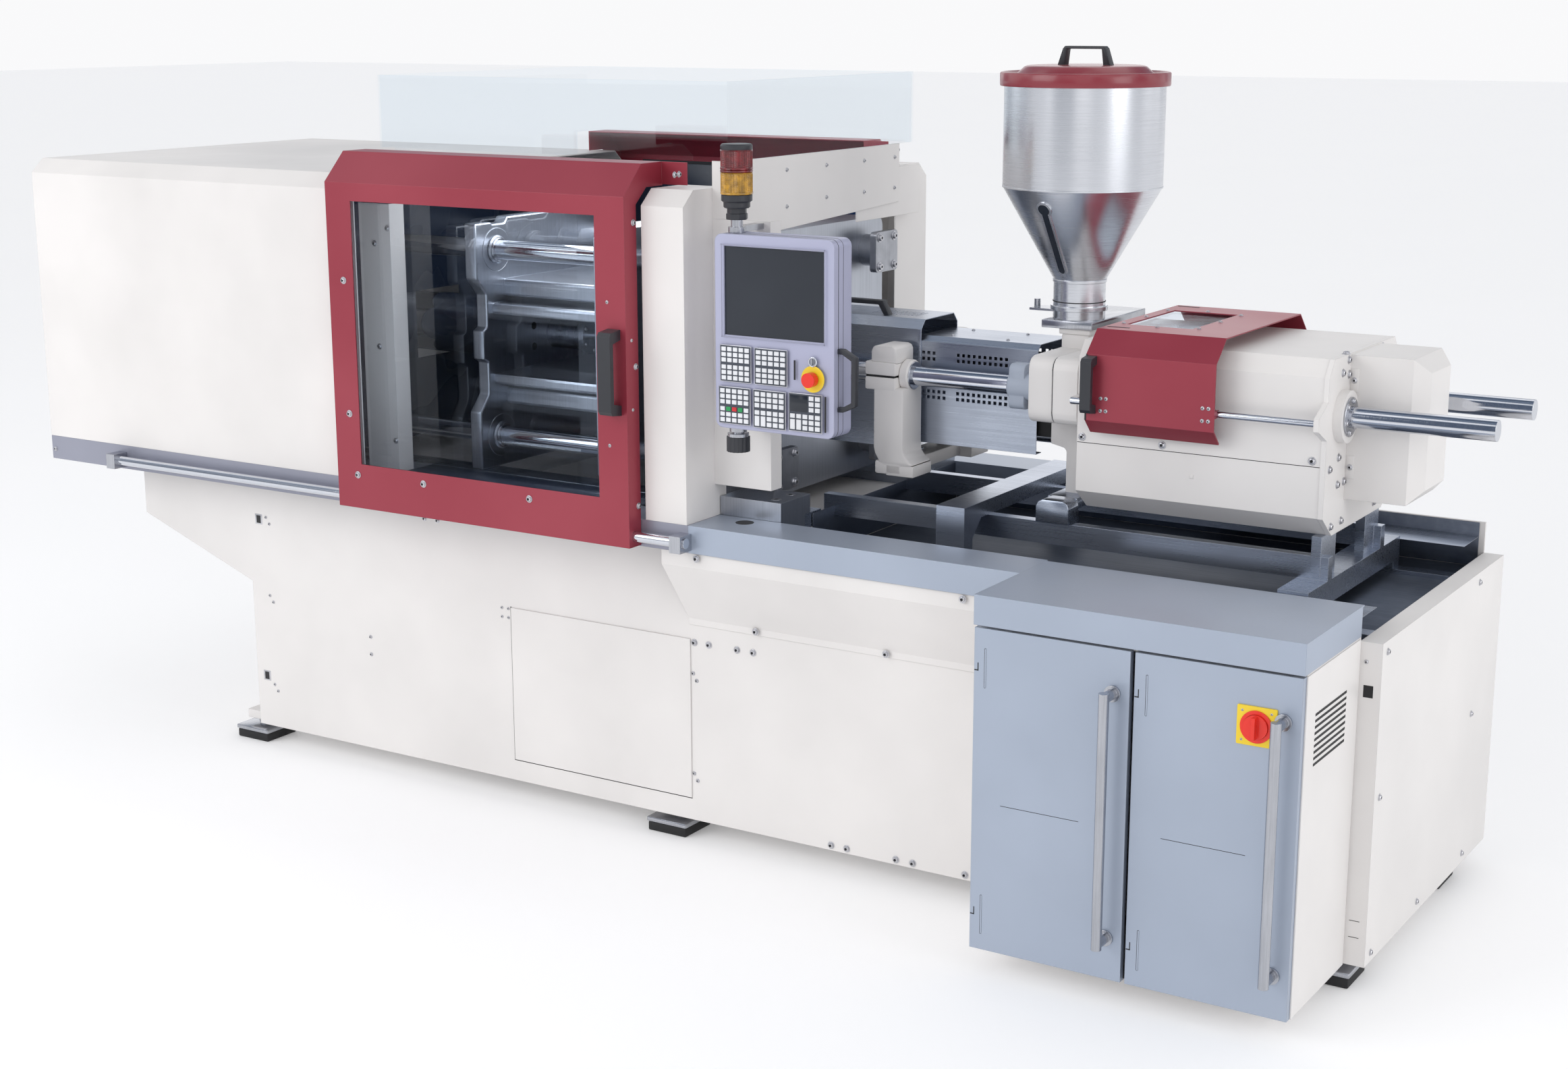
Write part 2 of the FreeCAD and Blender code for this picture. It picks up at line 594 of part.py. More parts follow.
def make_tie_plates():
    """Bolted end caps over the tie bars, on the injection side."""
    plates = []
    face = (s.tie_plate_x, s.tie_plate_x + s.tie_plate_thick)
    for y, z in TIE_SPOTS:
        half_y, half_z = s.tie_plate_width / 2, s.tie_plate_height / 2
        plate = prism("x", rectangle((y - half_y, y + half_y), (z - half_z, z + half_z)),
                      face, s.tie_plate_round)
        neck = cut(rod("x", (y, z), s.tie_neck, (platen_right, s.tie_plate_x)),
                   rod("x", (y, z), s.tie_radius + s.press_gap, (platen_right, s.tie_plate_x)))
        plates.append(fuse(plate, neck))
    keep("tie_bar_plates", group(*plates))


def make_end_platen():
    """End platen cast in one with the clamp cylinder."""
    x = (s.end_platen_left, s.end_platen_left + s.end_platen_thick)
    plate = prism("x", rectangle(both(s.platen_half), (s.bed_top, platen_high)), x,
                  s.platen_corner)
    y, z = injection_axis()
    cylinder = rod("x", (y, z), s.cylinder_radius, (s.cylinder_left, x[1]))
    bore = rod("x", (y, z), s.piston_radius + s.running_gap,
               (s.cylinder_left + s.cylinder_end, x[1] + s.sheet))
    keep("cylinder_platen", cut(fuse(plate, cylinder), bore,
                                *tie_holes((x[0] - s.sheet, x[1] + s.sheet), s.press_gap)))


def notched_plate(x):
    """Rear plate of the moving platen: lugs at the corners, recessed between them."""
    half, edge = s.platen_half, s.recess
    shelf = edge - s.pad_inset
    right = [
        (half, -s.platen_height / 2 + s.slide_gap), (half, -s.lug_low),
        (half - edge, s.lug_slant - s.lug_low), (half - edge, -s.pad_half - s.pad_slant),
        (half - edge + shelf, -s.pad_half), (half - edge + shelf, s.pad_half),
        (half - edge, s.pad_half + s.pad_slant), (half - edge, s.lug_low - s.lug_slant),
        (half, s.lug_low), (half, s.platen_height / 2),
    ]
    points = [(s.centre_y + y, s.axis_z + z) for y, z in right]
    points += [(s.centre_y - y, s.axis_z + z) for y, z in reversed(right)]
    return prism("x", points, x)


def make_moving_platen():
    """Moving platen: a notched rear plate, four ribs and the mould face plate."""
    rear = (s.moving_back, s.moving_back + s.back_plate)
    front = (s.moving_face - s.face_plate, s.moving_face)
    low = s.bed_top + s.slide_gap
    solid = [notched_plate(rear),
             prism("x", rectangle(both(s.platen_half), (low, platen_high)), front,
                   s.platen_corner)]
    for z, thick, half in ((s.rib_z, s.rib_thick, s.rib_half),
                           (s.outer_rib_z, s.outer_rib_thick, s.outer_rib_half)):
        for side in (-1, 1):
            middle = s.axis_z + z * side
            solid.append(block((rear[1], front[0]), both(half),
                               (middle - thick / 2, middle + thick / 2)))
    y, z = injection_axis()
    room = rod("x", (y, z), s.ejector_room, (rear[1], front[0]))
    push = rod("x", (y, z), s.ejector_rod + s.running_gap, (rear[1], front[1] + s.sheet))
    past = (rear[0] - s.sheet, front[1] + s.sheet)
    bolts = mould_bolts((front[1] - s.mould_bolt_depth, front[1] + s.sheet))
    keep("moving_platen", cut(fuse(*solid), room, push, *tie_holes(past, s.running_gap), *bolts))


def make_clamp_piston():
    """Piston rod between the clamp cylinder and the moving platen."""
    y, z = injection_axis()
    stem = rod("x", (y, z), s.piston_radius, (s.piston_left, s.moving_back))
    flange = rod("x", (y, z), s.piston_flange,
                 (s.moving_back - s.piston_flange_thick, s.moving_back))
    keep("clamp_piston", fuse(stem, flange))


def make_ejector():
    """Ejector cylinder on the rear plate, and the rod that it pushes."""
    y, z = injection_axis()
    left = s.moving_back + s.back_plate
    right = left + s.ejector_length
    body = rod("x", (y, z), s.ejector_radius, (left, right))
    flange = rod("x", (y, z), s.ejector_flange, (right - s.ejector_flange_thick, right))
    bore = rod("x", (y, z), s.ejector_rod + s.running_gap, (s.ejector_rod_left, right + s.sheet))
    keep("ejector_cylinder", cut(fuse(body, flange), bore))
    keep("ejector_rod", rod("x", (y, z), s.ejector_rod,
                            (s.ejector_rod_left + s.slide_gap, s.ejector_rod_right)))


# ---------------------------------------------------------------- covers and guards

def make_clamp_cover():
    """Bent cover over the clamp end, closed at the machine's left end."""
    wall = s.cover_wall
    hood = prism("x", arch(s.cover_half, s.bed_top, s.cover_top, s.cover_inset,
                           s.cover_drop, wall), (s.machine_left, s.cover_right))
    end = prism("x", arch(s.cover_half, s.bed_top, s.cover_top, s.cover_inset, s.cover_drop),
                (s.machine_left, s.machine_left + wall))
    keep("clamp_cover", fuse(hood, end))


def make_column_cover():
    """Box-shaped cover to the right of the safety doors, front and rear."""
    front, back = s.centre_y - s.cover_half, s.centre_y - s.column_back
    t = s.column_wall
    skin = [(front, s.bed_top), (front, s.cover_top - s.cover_drop),
            (front + s.cover_inset, s.cover_top), (back, s.cover_top), (back, s.bed_top)]
    room = [(front + t, s.bed_top - t), (front + t, s.cover_top - s.cover_drop),
            (front + s.cover_inset, s.cover_top - t), (back + t, s.cover_top - t),
            (back + t, s.bed_top - t)]
    cover = cut(prism("x", skin, (s.column_left, column_right)),
                prism("x", room, (s.column_left + t, column_right - t)))
    keep("column_cover", group(cover, mirror(cover)))


def make_clamp_shield():
    """Folded inner posts at the left of the door opening, front and rear."""
    front = base_front - s.sheet / 2
    right = s.post_left + s.post_width
    t = s.sheet
    section = [(s.post_left, front), (right, front), (right, front + s.post_fold),
               (right - t, front + s.post_fold), (right - t, front + t), (s.post_left, front + t)]
    post = prism("z", section, (s.bed_top, s.post_top))
    keep("clamp_shield", group(post, mirror(post)))


def make_side_guard():
    """White sheets at the injection side of the mould space, under the clear guard."""
    x = (s.guard_right - s.side_sheet, s.guard_right)
    front, rear = base_front + s.sheet, s.centre_y + s.side_half_rear
    main = prism("x", [(front, s.side_low_front), (rear, s.side_low_rear),
                       (rear, s.guard_bottom), (front, s.guard_bottom)], x)
    left = s.centre_y + s.rear_side_front
    right = s.centre_y + s.rear_side_half
    inner = (x[0] - s.side_sheet, x[0])
    behind = prism("x", rectangle((left, right), (s.side_low_front, s.rear_side_top)), inner)
    tie = block((column_right, x[1]), (base_front, base_front + s.side_sheet),
                (s.mount_top, s.guard_bottom))
    far = block((column_right, x[0]),
                (s.centre_y + s.guard_back, s.centre_y + s.guard_back + s.side_sheet),
                (s.side_low_front, s.rear_side_top))
    keep("side_guard", fuse(main, behind, tie, far))


def make_guard_windows():
    """Clear guard standing open-topped above the mould space."""
    front, back = base_front, s.centre_y + s.guard_back
    t = s.guard_pane
    outer = block((s.guard_left, s.guard_right), (front, back), (s.guard_bottom, s.guard_top))
    room = block((s.guard_left + t, s.guard_right - t), (front + t, back - t),
                 (s.guard_bottom - t, s.guard_top + t))
    low = s.cover_top
    legs = [block((s.guard_left, s.cover_right), (front + s.post_fold, back - s.post_fold),
                  (low, s.guard_bottom))]
    keep("guard_windows", fuse(cut(outer, room), cut(legs[0], block(
        (s.guard_left + t, s.cover_right + t), (front, back), (low, s.guard_bottom + t)))))


# ---------------------------------------------------------------- safety doors

def door_section(gap):
    """Outer section of a door, from its lower front edge to its roof, shrunk by a wall."""
    front = s.centre_y - s.door_half
    shift = Size(0.0) if gap is None else gap
    points = [(front + shift, s.door_bottom + shift), (front + shift, s.door_top - s.door_drop),
              (front + s.door_inset, s.door_top - shift)]
    return front, points


def make_door(name, twin):
    """Folded safety door with its window opening, its roof flange and its guide holes."""
    front, skin = door_section(None)
    _, lining = door_section(s.door_wall)
    back = s.centre_y - s.cover_half - s.cover_gap
    roof_back = base_front - s.door_flange_reach
    roof_low = s.cover_top + s.cover_gap
    inset = back + s.cover_inset
    shoulder = s.cover_top - s.cover_drop + s.cover_gap
    side = [(inset, roof_low), (back, shoulder), (back, s.door_bottom)]
    skin = skin + [(roof_back, s.door_top), (roof_back, roof_low)] + side
    x = (s.door_left, door_right)
    t = s.door_wall
    room = lining + [(roof_back + t, s.door_top - t), (roof_back + t, roof_low - t),
                     (inset, roof_low - t), (back + t, shoulder), (back + t, s.door_bottom + t)]
    opening = block((s.window_left, s.window_left + s.window_width),
                    (front - t, back + t),
                    (s.window_bottom, s.window_bottom + s.window_height))
    guide = rod("x", (s.centre_y - s.guide_half, s.guide_z), s.guide_radius + s.running_gap,
                (x[0] - t, x[1] + t))
    shell = cut(prism("x", skin, x), prism("x", room, (x[0] + t, x[1] - t)), opening, guide)
    arm = block((door_right, door_right + s.arm_length), (roof_back - s.sheet, roof_back),
                (s.door_top - s.arm_height, s.door_top))
    leaf = fuse(shell, arm)
    keep(name, mirror(leaf) if twin else leaf)


def make_window(name, twin):
    """Window pane fixed inside a door's front sheet."""
    front = s.centre_y - s.door_half + s.door_wall
    rim = s.pane_rim
    pane = prism("y", rectangle((s.window_left - rim, s.window_left + s.window_width + rim),
                                (s.window_bottom - rim,
                                 s.window_bottom + s.window_height + rim)),
                 (front, front + s.pane))
    keep(name, mirror(pane) if twin else pane)


def bridge(x, face, z, reach, bar, foot):
    """Bridge handle standing out of a face towards the operator."""
    low, high = z
    out = face - reach
    outside = [(face, low), (face, low + foot), (out + bar, low + foot + bar / 2),
               (out + bar, high - foot - bar / 2), (face, high - foot), (face, high),
               (out + bar / 2, high - bar / 3), (out, high - bar), (out, low + bar),
               (out + bar / 2, low + bar / 3)]
    return prism("x", outside, x)


def make_door_handle():
    """Bridge handle of the front door."""
    face = s.centre_y - s.door_half
    keep("door_handle", bridge((s.handle_left, s.handle_left + s.handle_width), face,
                               (s.handle_bottom, s.handle_bottom + s.handle_height),
                               s.handle_reach, s.handle_bar, s.handle_foot))


def make_door_guides():
    """Guide rods of both doors, and the blocks that clamp them to the side channels."""
    rods, clamps = [], []
    y, z = s.centre_y - s.guide_half, s.guide_z
    bar = rod("x", (y, z), s.guide_radius, (s.guide_left, s.guide_right))
    rods = [bar, mirror(bar)]
    face = s.centre_y - s.cover_half
    for left in (s.guide_left_clamp, s.guide_right_clamp):
        span = (left, left + s.guide_clamp_width)
        grip = cut(block(span, (y - s.guide_clamp / 2, face),
                         (s.guide_clamp_bottom, s.guide_clamp_bottom + s.guide_clamp)),
                   rod("x", (y, z), s.guide_radius + s.press_gap, span))
        clamps += [grip, mirror(grip)]
    keep("door_guide_rods", group(*rods))
    keep("rod_clamps", group(*clamps))


# ---------------------------------------------------------------- operator panel

def post_spot():
    """Centre of the panel's pivot post across Z."""
    return s.post_x, base_front - s.post_reach


def make_panel_mount():
    """Folded plate beside the column that carries the pivot post."""
    x = (column_right, column_right + s.mount_width)
    t = s.sheet
    section = [(x[0], base_front), (x[1], base_front), (x[1], base_front + s.mount_fold),
               (x[1] - t, base_front + s.mount_fold), (x[1] - t, base_front + t),
               (x[0], base_front + t)]
    keep("panel_mount", prism("z", section, (s.mount_bottom, s.mount_top)))


def make_panel_post():
    """Pivot post with two collars, two brackets and a cable gland below."""
    x, y = post_spot()
    low = s.post_low + s.gland_height
    solid = [rod("z", (x, y), s.post_radius, (low, s.post_high)),
             rod("z", (x, y), s.gland_radius, (s.post_low, low))]
    panel_high = s.panel_bottom + s.panel_height
    gap = s.slide_gap
    for z in ((s.panel_bottom - gap - s.collar_height, s.panel_bottom - gap),
              (panel_high + gap, panel_high + gap + s.collar_height)):
        solid.append(rod("z", (x, y), s.collar_radius, z))
        half = s.collar_radius - s.sheet
        arm = block((x - half, x + half - s.mount_fold / 5), (y, base_front), z)
        solid.append(arm)
    keep("panel_post", fuse(*solid))


def make_panel():
    """Panel housing with the pivot bore, screen recess and control holes, and its screen."""
    x = (s.panel_left, s.panel_left + s.panel_width)
    z = (s.panel_bottom, s.panel_bottom + s.panel_height)
    front = base_front - s.panel_reach
    shell = prism("y", rectangle(x, z), (front, front + s.panel_depth), s.panel_round)
    px, py = post_spot()
    pivot = rod("z", (px, py), s.post_radius + s.running_gap, (z[0] - s.sheet, z[1] + s.sheet))
    screen = [(s.screen_left, s.screen_left + s.screen_width),
              (s.screen_bottom, s.screen_bottom + s.screen_height)]
    recess = block(screen[0], (front - s.sheet, front + s.screen_recess), screen[1])
    stop = rod("y", (s.stop_x, s.stop_z), s.stop_stem + s.running_gap,
               (front - s.stop_collar_height - s.sheet,
                front + s.stop_stem_depth + s.stop_travel + s.slide_gap))
    lock = rod("y", (s.key_x, s.key_z), s.key_stem + s.running_gap,
               (front - s.sheet, front + s.key_depth + s.slide_gap))
    collar = rod("y", (s.stop_x, s.stop_z), s.stop_collar,
                 (front - s.stop_collar_height, front))
    keep("panel_housing", cut(fuse(shell, collar), pivot, recess, stop, lock))
    glass = (front + s.screen_recess - s.screen_glass, front + s.screen_recess)
    keep("panel_screen", prism("y", rectangle(*screen), glass))
    face = front - s.stop_collar_height - s.stop_travel - s.slide_gap
    keep("estop_button", fuse(
        rod("y", (s.stop_x, s.stop_z), s.stop_radius, (face - s.stop_height, face)),
        rod("y", (s.stop_x, s.stop_z), s.stop_stem, (face, front + s.stop_stem_depth))))
    key_face = front - s.slide_gap
    grip = s.key_grip / 2
    keep("key_switch", fuse(
        rod("y", (s.key_x, s.key_z), s.key_radius, (key_face - s.key_height, key_face)),
        rod("y", (s.key_x, s.key_z), s.key_stem, (key_face, front + s.key_depth)),
        block((s.key_x - grip, s.key_x + grip),
              (key_face - s.key_height - s.key_grip_height, key_face - s.key_height),
              (s.key_z - s.key_radius / 1.3, s.key_z + s.key_radius / 1.3))))


def make_signal_lamp():
    """Signal lamp on top of the pivot post."""
    spot = post_spot()
    nut_top = s.post_high + s.lamp_nut_height
    base_top = nut_top + s.lamp_base
    cap = s.lamp_top - s.lamp_cap
    middle = (base_top + cap) / 2
    inner = s.lamp_radius - s.lamp_groove
    solid = [rod("z", spot, s.lamp_nut, (s.post_high, nut_top)),
             rod("z", spot, s.lamp_radius, (nut_top, base_top)),
             rod("z", spot, inner, (base_top, s.lamp_top))]
    for low, high in ((base_top + s.lamp_groove, middle - s.lamp_groove),
                      (middle, cap - s.lamp_groove), (cap, s.lamp_top)):
        solid.append(rod("z", spot, s.lamp_radius, (low, high)))
    keep("signal_lamp", fuse(*solid))


# ---------------------------------------------------------------- injection unit

def make_injection_rods():
    """Two guide rods of the injection unit, seated in the fixed platen."""
    keep("injection_rods", group(*[
        rod("x", spot, s.rod_radius, (s.rod_left, s.machine_right)) for spot in rod_spots()]))


def rod_bores(span):
    """Running bores for the guide rods."""
    return [rod("x", spot, s.rod_radius + s.running_gap, span) for spot in rod_spots()]


def make_feed_housing():
    """Casting that carries the barrel and the hopper and runs on the guide rods."""
    x = (s.feed_left, s.feed_left + s.feed_width)
    past = (x[0] - s.boss_reach - s.sheet, x[1] + s.sheet)
    y, z = injection_axis()
    solid = [prism("x", rectangle(both(s.feed_half), (s.feed_low, s.feed_high)), x,
                   s.feed_round)]
    solid.append(block((s.tower_left, s.tower_left + s.tower_width), both(s.tower_half),
                       (s.axis_z, s.tower_top)))
    boss_half = s.shroud_half - s.shroud_wall - s.slide_gap
    solid.append(block((x[0] - s.boss_reach, x[0]), both(boss_half), (s.boss_low, s.boss_high)))
    saddle_top = s.beam_high + s.saddle_height
    solid.append(block((s.leg_left, s.leg_left + s.leg_width), both(s.leg_half),
                       (saddle_top - s.sheet, s.axis_z)))
    solid.append(block((s.saddle_left, s.saddle_left + s.saddle_width), both(s.saddle_half),
                       (s.beam_high, saddle_top)))
    plate = block((s.slide_plate_left, s.slide_plate_left + s.slide_plate_width),
                  across(-s.slide_plate_front, s.slide_plate_back),
                  (s.tower_top, s.tower_top + s.slide_plate_thick))
    caps = [rod("x", spot, s.rod_cap, (x[0] - s.rod_cap_length, x[0])) for spot in rod_spots()]
    barrel = rod("x", (y, z), s.barrel_radius + s.press_gap, past)
    throat = rod("z", (s.hopper_x, s.centre_y), s.throat,
                 (s.axis_z, s.tower_top + s.slide_plate_thick + s.sheet))
    arch_way = block((s.saddle_left - s.sheet, s.saddle_left + s.saddle_width + s.sheet),
                     both(s.leg_half), (s.beam_high - s.sheet, s.beam_high + s.saddle_height / 2))
    keep("feed_housing", cut(fuse(*solid, plate, *caps), barrel, throat, arch_way,
                             *rod_bores(past)))


def make_barrel():
    """Heated barrel with its nozzle, bored for the screw and open at the feed throat."""
    y, z = injection_axis()
    right = s.barrel_right
    solid = [rod("x", (y, z), s.barrel_radius, (s.barrel_left, right)),
             rod("x", (y, z), s.nozzle_radius, (s.nozzle_left + s.nozzle_taper, s.barrel_left)),
             tip(s.nozzle_tip, s.nozzle_radius, (s.nozzle_left, s.nozzle_left + s.nozzle_taper))]
    bore = rod("x", (y, z), s.screw_bore, (s.screw_left - s.sheet, right + s.sheet))
    sprue = rod("x", (y, z), s.sheet, (s.nozzle_left - s.sheet, s.screw_left))
    throat = rod("z", (s.hopper_x, s.centre_y), s.screw_radius,
                 (s.axis_z, s.axis_z + s.barrel_radius + s.sheet))
    keep("barrel", cut(fuse(*solid), bore, sprue, throat))


def make_shrouds():
    """Bent covers over the barrel: the fixed rear one and the sliding front one."""
    rear = arch(s.shroud_half, s.shroud_low, s.shroud_high, s.shroud_inset, s.shroud_drop,
                s.shroud_wall)
    keep("barrel_shroud", prism("x", rear, (s.shroud_left, s.shroud_right)))
    half = s.shroud_half + s.slide_gap + s.shroud_wall
    nose = arch(half, s.nose_low, s.nose_high, s.nose_inset, s.nose_drop, s.shroud_wall)
    keep("nozzle_guard", prism("x", nose, (s.nose_left, s.nose_left + s.guard_length)))


def make_front_bracket():
    """Cast bracket that holds the rods together in front of the shroud's middle."""
    y_out, y_in = s.split_half, s.arm_inner
    middle = (s.axis_z + s.split_low) / 2
    solid = []
    for side in (-1, 1):
        limits = beside(side, y_in, y_out)
        solid.append(block((s.split_left, s.split_left + s.split_width), limits,
                           (s.split_low, s.hump_high)))
        solid.append(block((s.arm_left, s.arm_left + s.arm_width), limits,
                           (s.arm_low, middle)))
        solid.append(block((s.toe_left, s.toe_left + s.toe_width), limits,
                           (s.toe_low, s.arm_low)))
    solid.append(block((s.arm_left, s.arm_left + s.arm_width), both(y_out),
                       (s.toe_low, s.toe_low + s.arm_thick)))
    past = (s.split_left - s.sheet, s.toe_left + s.toe_width)
    keep("front_bracket", cut(fuse(*solid), *rod_bores(past)))


def make_carriage():
    """Two long beams tied by a yoke and a rear cross channel, running on the bed rails."""
    half = s.beam_width / 2
    rail_top = trough_floor + s.carriage_rail_height + s.slide_gap
    solid = []
    for side in (-1, 1):
        solid.append(block((s.beam_left, s.beam_right),
                           beside(side, s.beam_y - half, s.beam_y + half),
                           (s.beam_low, s.beam_high)))
        solid.append(block((s.strut_left, s.strut_left + s.strut_width),
                           beside(side, s.strut_in, s.strut_out),
                           (s.beam_low, s.housing_low)))
    x = (s.yoke_left, s.yoke_left + s.yoke_width)
    left, right = both(s.yoke_half)
    leg = s.yoke_leg
    high, under = s.yoke_high, s.yoke_high - s.yoke_thick
    section = [(left, high), (left, rail_top), (left + leg, rail_top), (left + leg, under - leg),
               (left + leg * 2, under), (right - leg * 2, under), (right - leg, under - leg),
               (right - leg, rail_top), (right, rail_top), (right, high)]
    solid.append(prism("x", section, x))
    rear_x = (s.cross_left, s.cross_left + s.cross_width)
    solid.append(block(rear_x, both(s.yoke_half), (s.cross_low, s.cross_high)))
    for side in (-1, 1):
        solid.append(block(rear_x, shoe_y(side), (rail_top, s.cross_low)))
    keep("carriage_frame", fuse(*solid))


def housing_section(wall):
    """Eight-sided section of the drive housing, shrunk by a wall."""
    left, right = both(s.housing_half - wall)
    low, high = s.housing_low + wall, s.housing_high - wall
    foot, rise = s.housing_foot, s.housing_rise
    inset, drop = s.housing_inset, s.housing_drop
    return [(left, low + rise), (left + foot, low), (right - foot, low), (right, low + rise),
            (right, high - drop), (right - inset, high), (left + inset, high),
            (left, high - drop)]


def make_drive_housing():
    """Sheet housing of the screw drive with a bearing web and the cover's two guide rods."""
    x = (s.housing_left, s.housing_right)
    w = s.housing_wall
    nothing = Size(0.0)
    hollow = [prism("x", housing_section(w), (x[0] + w, s.web_left)),
              prism("x", housing_section(w), (s.web_left + s.web_thick, x[1] + w))]
    y, z = injection_axis()
    shell = cut(prism("x", housing_section(nothing), x), *hollow)
    solid = [shell]
    for side in (-1, 1):
        spot = (s.centre_y + s.cover_rod_half * side, s.axis_z)
        solid.append(rod("x", spot, s.cover_rod_radius, x))
        reach = beside(side, s.housing_half, s.cover_rod_half)
        lug = s.cover_lug / 2
        solid.append(block((x[0], x[0] + s.cover_lug), reach, (z - lug, z + lug)))
    shaft = rod("x", (y, z), s.shaft_radius + s.running_gap, (x[0] - w, x[1] + w))
    keep("drive_housing", cut(fuse(*solid), shaft, *rod_bores((x[0] - w, x[1] + w))))


def make_end_plate():
    """Plate that closes the housing, with ears for the cover rods and two rod flanges."""
    x = (s.housing_right, s.housing_right + s.end_plate_thick)
    half, ear = s.end_plate_half, s.ear_height / 2
    section = []
    for side in (1, -1):
        edge, tab = s.centre_y + half * side, s.centre_y + s.ear_half * side
        corner = s.centre_y + (half - s.housing_foot) * side
        section += [(corner, s.housing_low), (edge, s.housing_low + s.housing_rise),
                    (edge, s.axis_z - ear), (tab, s.axis_z - ear / 3),
                    (tab, s.axis_z + ear / 3), (edge, s.axis_z + ear),
                    (edge, s.housing_high - s.housing_drop),
                    (edge - s.housing_inset * side, s.housing_high)]
        if side == 1:
            first = section
            section = []
    section = first + list(reversed(section))
    y, z = injection_axis()
    rings = [rod("x", spot, s.flange_radius, (x[1], x[1] + s.flange_thick))
             for spot in rod_spots()]
    past = (x[0] - s.sheet, x[1] + s.flange_thick + s.sheet)
    inner = s.motor_half + s.slide_gap
    relief = block((x[1], past[1]), both(inner), (s.motor_low, s.motor_high))
    shaft = rod("x", (y, z), s.shaft_radius + s.cover_gap, past)
    rings = [cut(ring, relief) for ring in rings]
    keep("end_plate", cut(fuse(prism("x", section, x), *rings), shaft, *rod_bores(past)))


def make_motor_cover():
    """Moulded motor cover with a chamfered end, hollow towards the end plate."""
    left = s.housing_right + s.end_plate_thick
    face, end = left + s.motor_length, left + s.motor_length + s.motor_end

    def body(wall):
        y, z = both(s.motor_half - wall), (s.motor_low + wall, s.motor_high - wall)
        stop, c = end - wall, s.motor_end
        flat = [(left, y[0]), (face, y[0]), (stop, y[0] + c), (stop, y[1] - c), (face, y[1]),
                (left, y[1])]
        tall = [(left, z[0]), (face, z[0]), (stop, z[0] + c), (stop, z[1] - c), (face, z[1]),
                (left, z[1])]
        return common(prism("z", flat, z), prism("y", tall, y))

    keep("motor_cover", cut(body(Size(0.0)), body(s.motor_wall)))


def make_drive_cover():
    """Bent sliding cover over the housing with a hem, a window and rod lugs."""
    x = (s.red_left, s.red_left + s.red_length)
    t = s.red_wall
    left, right = both(s.red_half)
    high, drop, inset = s.red_high, s.red_drop, s.red_inset
    side, hem = s.red_side, s.red_hem
    skin = [(left + hem, side - hem), (left, side), (left, high - drop), (left + inset, high),
            (right - inset, high), (right, high - drop), (right, side), (right - hem, side - hem)]
    lining = [(right - hem - t, side - hem + t), (right - t, side + t), (right - t, high - drop),
              (right - inset, high - t), (left + inset, high - t), (left + t, high - drop),
              (left + t, side + t), (left + hem + t, side - hem + t)]
    hood = prism("x", skin + lining, x)
    window = block((s.red_window_left, s.red_window_left + s.red_window_width),
                   both(s.red_window_half), (high - t * 2, high + t))
    lugs, bores = [], []
    lug = s.cover_lug / 2
    for way in (-1, 1):
        y = s.centre_y + s.cover_rod_half * way
        reach = beside(way, s.cover_rod_half - lug, s.red_half - t)
        for start in (x[0], x[1] - s.cover_lug):
            span = (start, start + s.cover_lug)
            lugs.append(block(span, reach, (s.axis_z - lug, s.axis_z + lug)))
        bores.append(rod("x", (y, s.axis_z), s.cover_rod_radius + s.running_gap, x))
    keep("drive_cover", cut(fuse(cut(hood, window), *lugs), *bores))
    keep("cover_handle", bridge((s.grip_left, s.grip_left + s.grip_width), left,
                                (s.grip_low, s.grip_low + s.grip_height), s.grip_reach,
                                s.grip_bar, s.grip_foot))


def make_screw_drive():
    """Drive shaft that pushes the screw, and the plasticising screw that it turns."""
    y, z = injection_axis()
    split = s.barrel_right + s.shaft_nose
    keep("drive_shaft", rod("x", (y, z), s.shaft_radius, (split + s.slide_gap, s.shaft_right)))
    keep("plasticising_screw", rod("x", (y, z), s.screw_radius, (s.screw_left, split)))


# ---------------------------------------------------------------- hopper

def make_hopper():
    """Sheet hopper: a cylinder, a cone and a neck, open through the gate to the throat."""
    spot = (s.hopper_x, s.centre_y)
    w = s.hopper_wall
    low = s.tower_top + s.slide_plate_thick + s.slide_gap
    inner = s.neck_radius - s.neck_wall
    outside = fuse(rod("z", spot, s.hopper_radius, (s.cone_top, s.hopper_top)),
                   cone(spot, s.neck_radius, s.hopper_radius, (s.cone_bottom, s.cone_top)),
                   rod("z", spot, s.neck_radius, (low, s.cone_bottom)))
    base = (low - w, s.gate_z + s.gate_thick * 2)
    half = s.gate_thick / 2 + s.slide_gap
    slot = block((s.hopper_x - s.neck_radius - w, s.gate_right + s.slide_gap),
                 both(s.gate_half + s.slide_gap), (s.gate_z - half, s.gate_z + half))
    hollow = fuse(rod("z", spot, s.hopper_radius - w, (s.cone_top, s.hopper_top + w)),
                  cone(spot, inner, s.hopper_radius - w, (s.cone_bottom, s.cone_top)),
                  rod("z", spot, inner, (base[1], s.cone_bottom)),
                  rod("z", spot, s.throat, base))
    keep("hopper", cut(outside, hollow, slot))
    gate_z = (s.gate_z - s.gate_thick / 2, s.gate_z + s.gate_thick / 2)
    plate = block((s.gate_left, s.gate_right), both(s.gate_half), gate_z)
    knob = rod("z", (s.gate_left + s.gate_knob, s.centre_y), s.gate_knob,
               (gate_z[0], gate_z[0] + s.gate_knob_length))
    keep("hopper_gate", fuse(plate, knob))


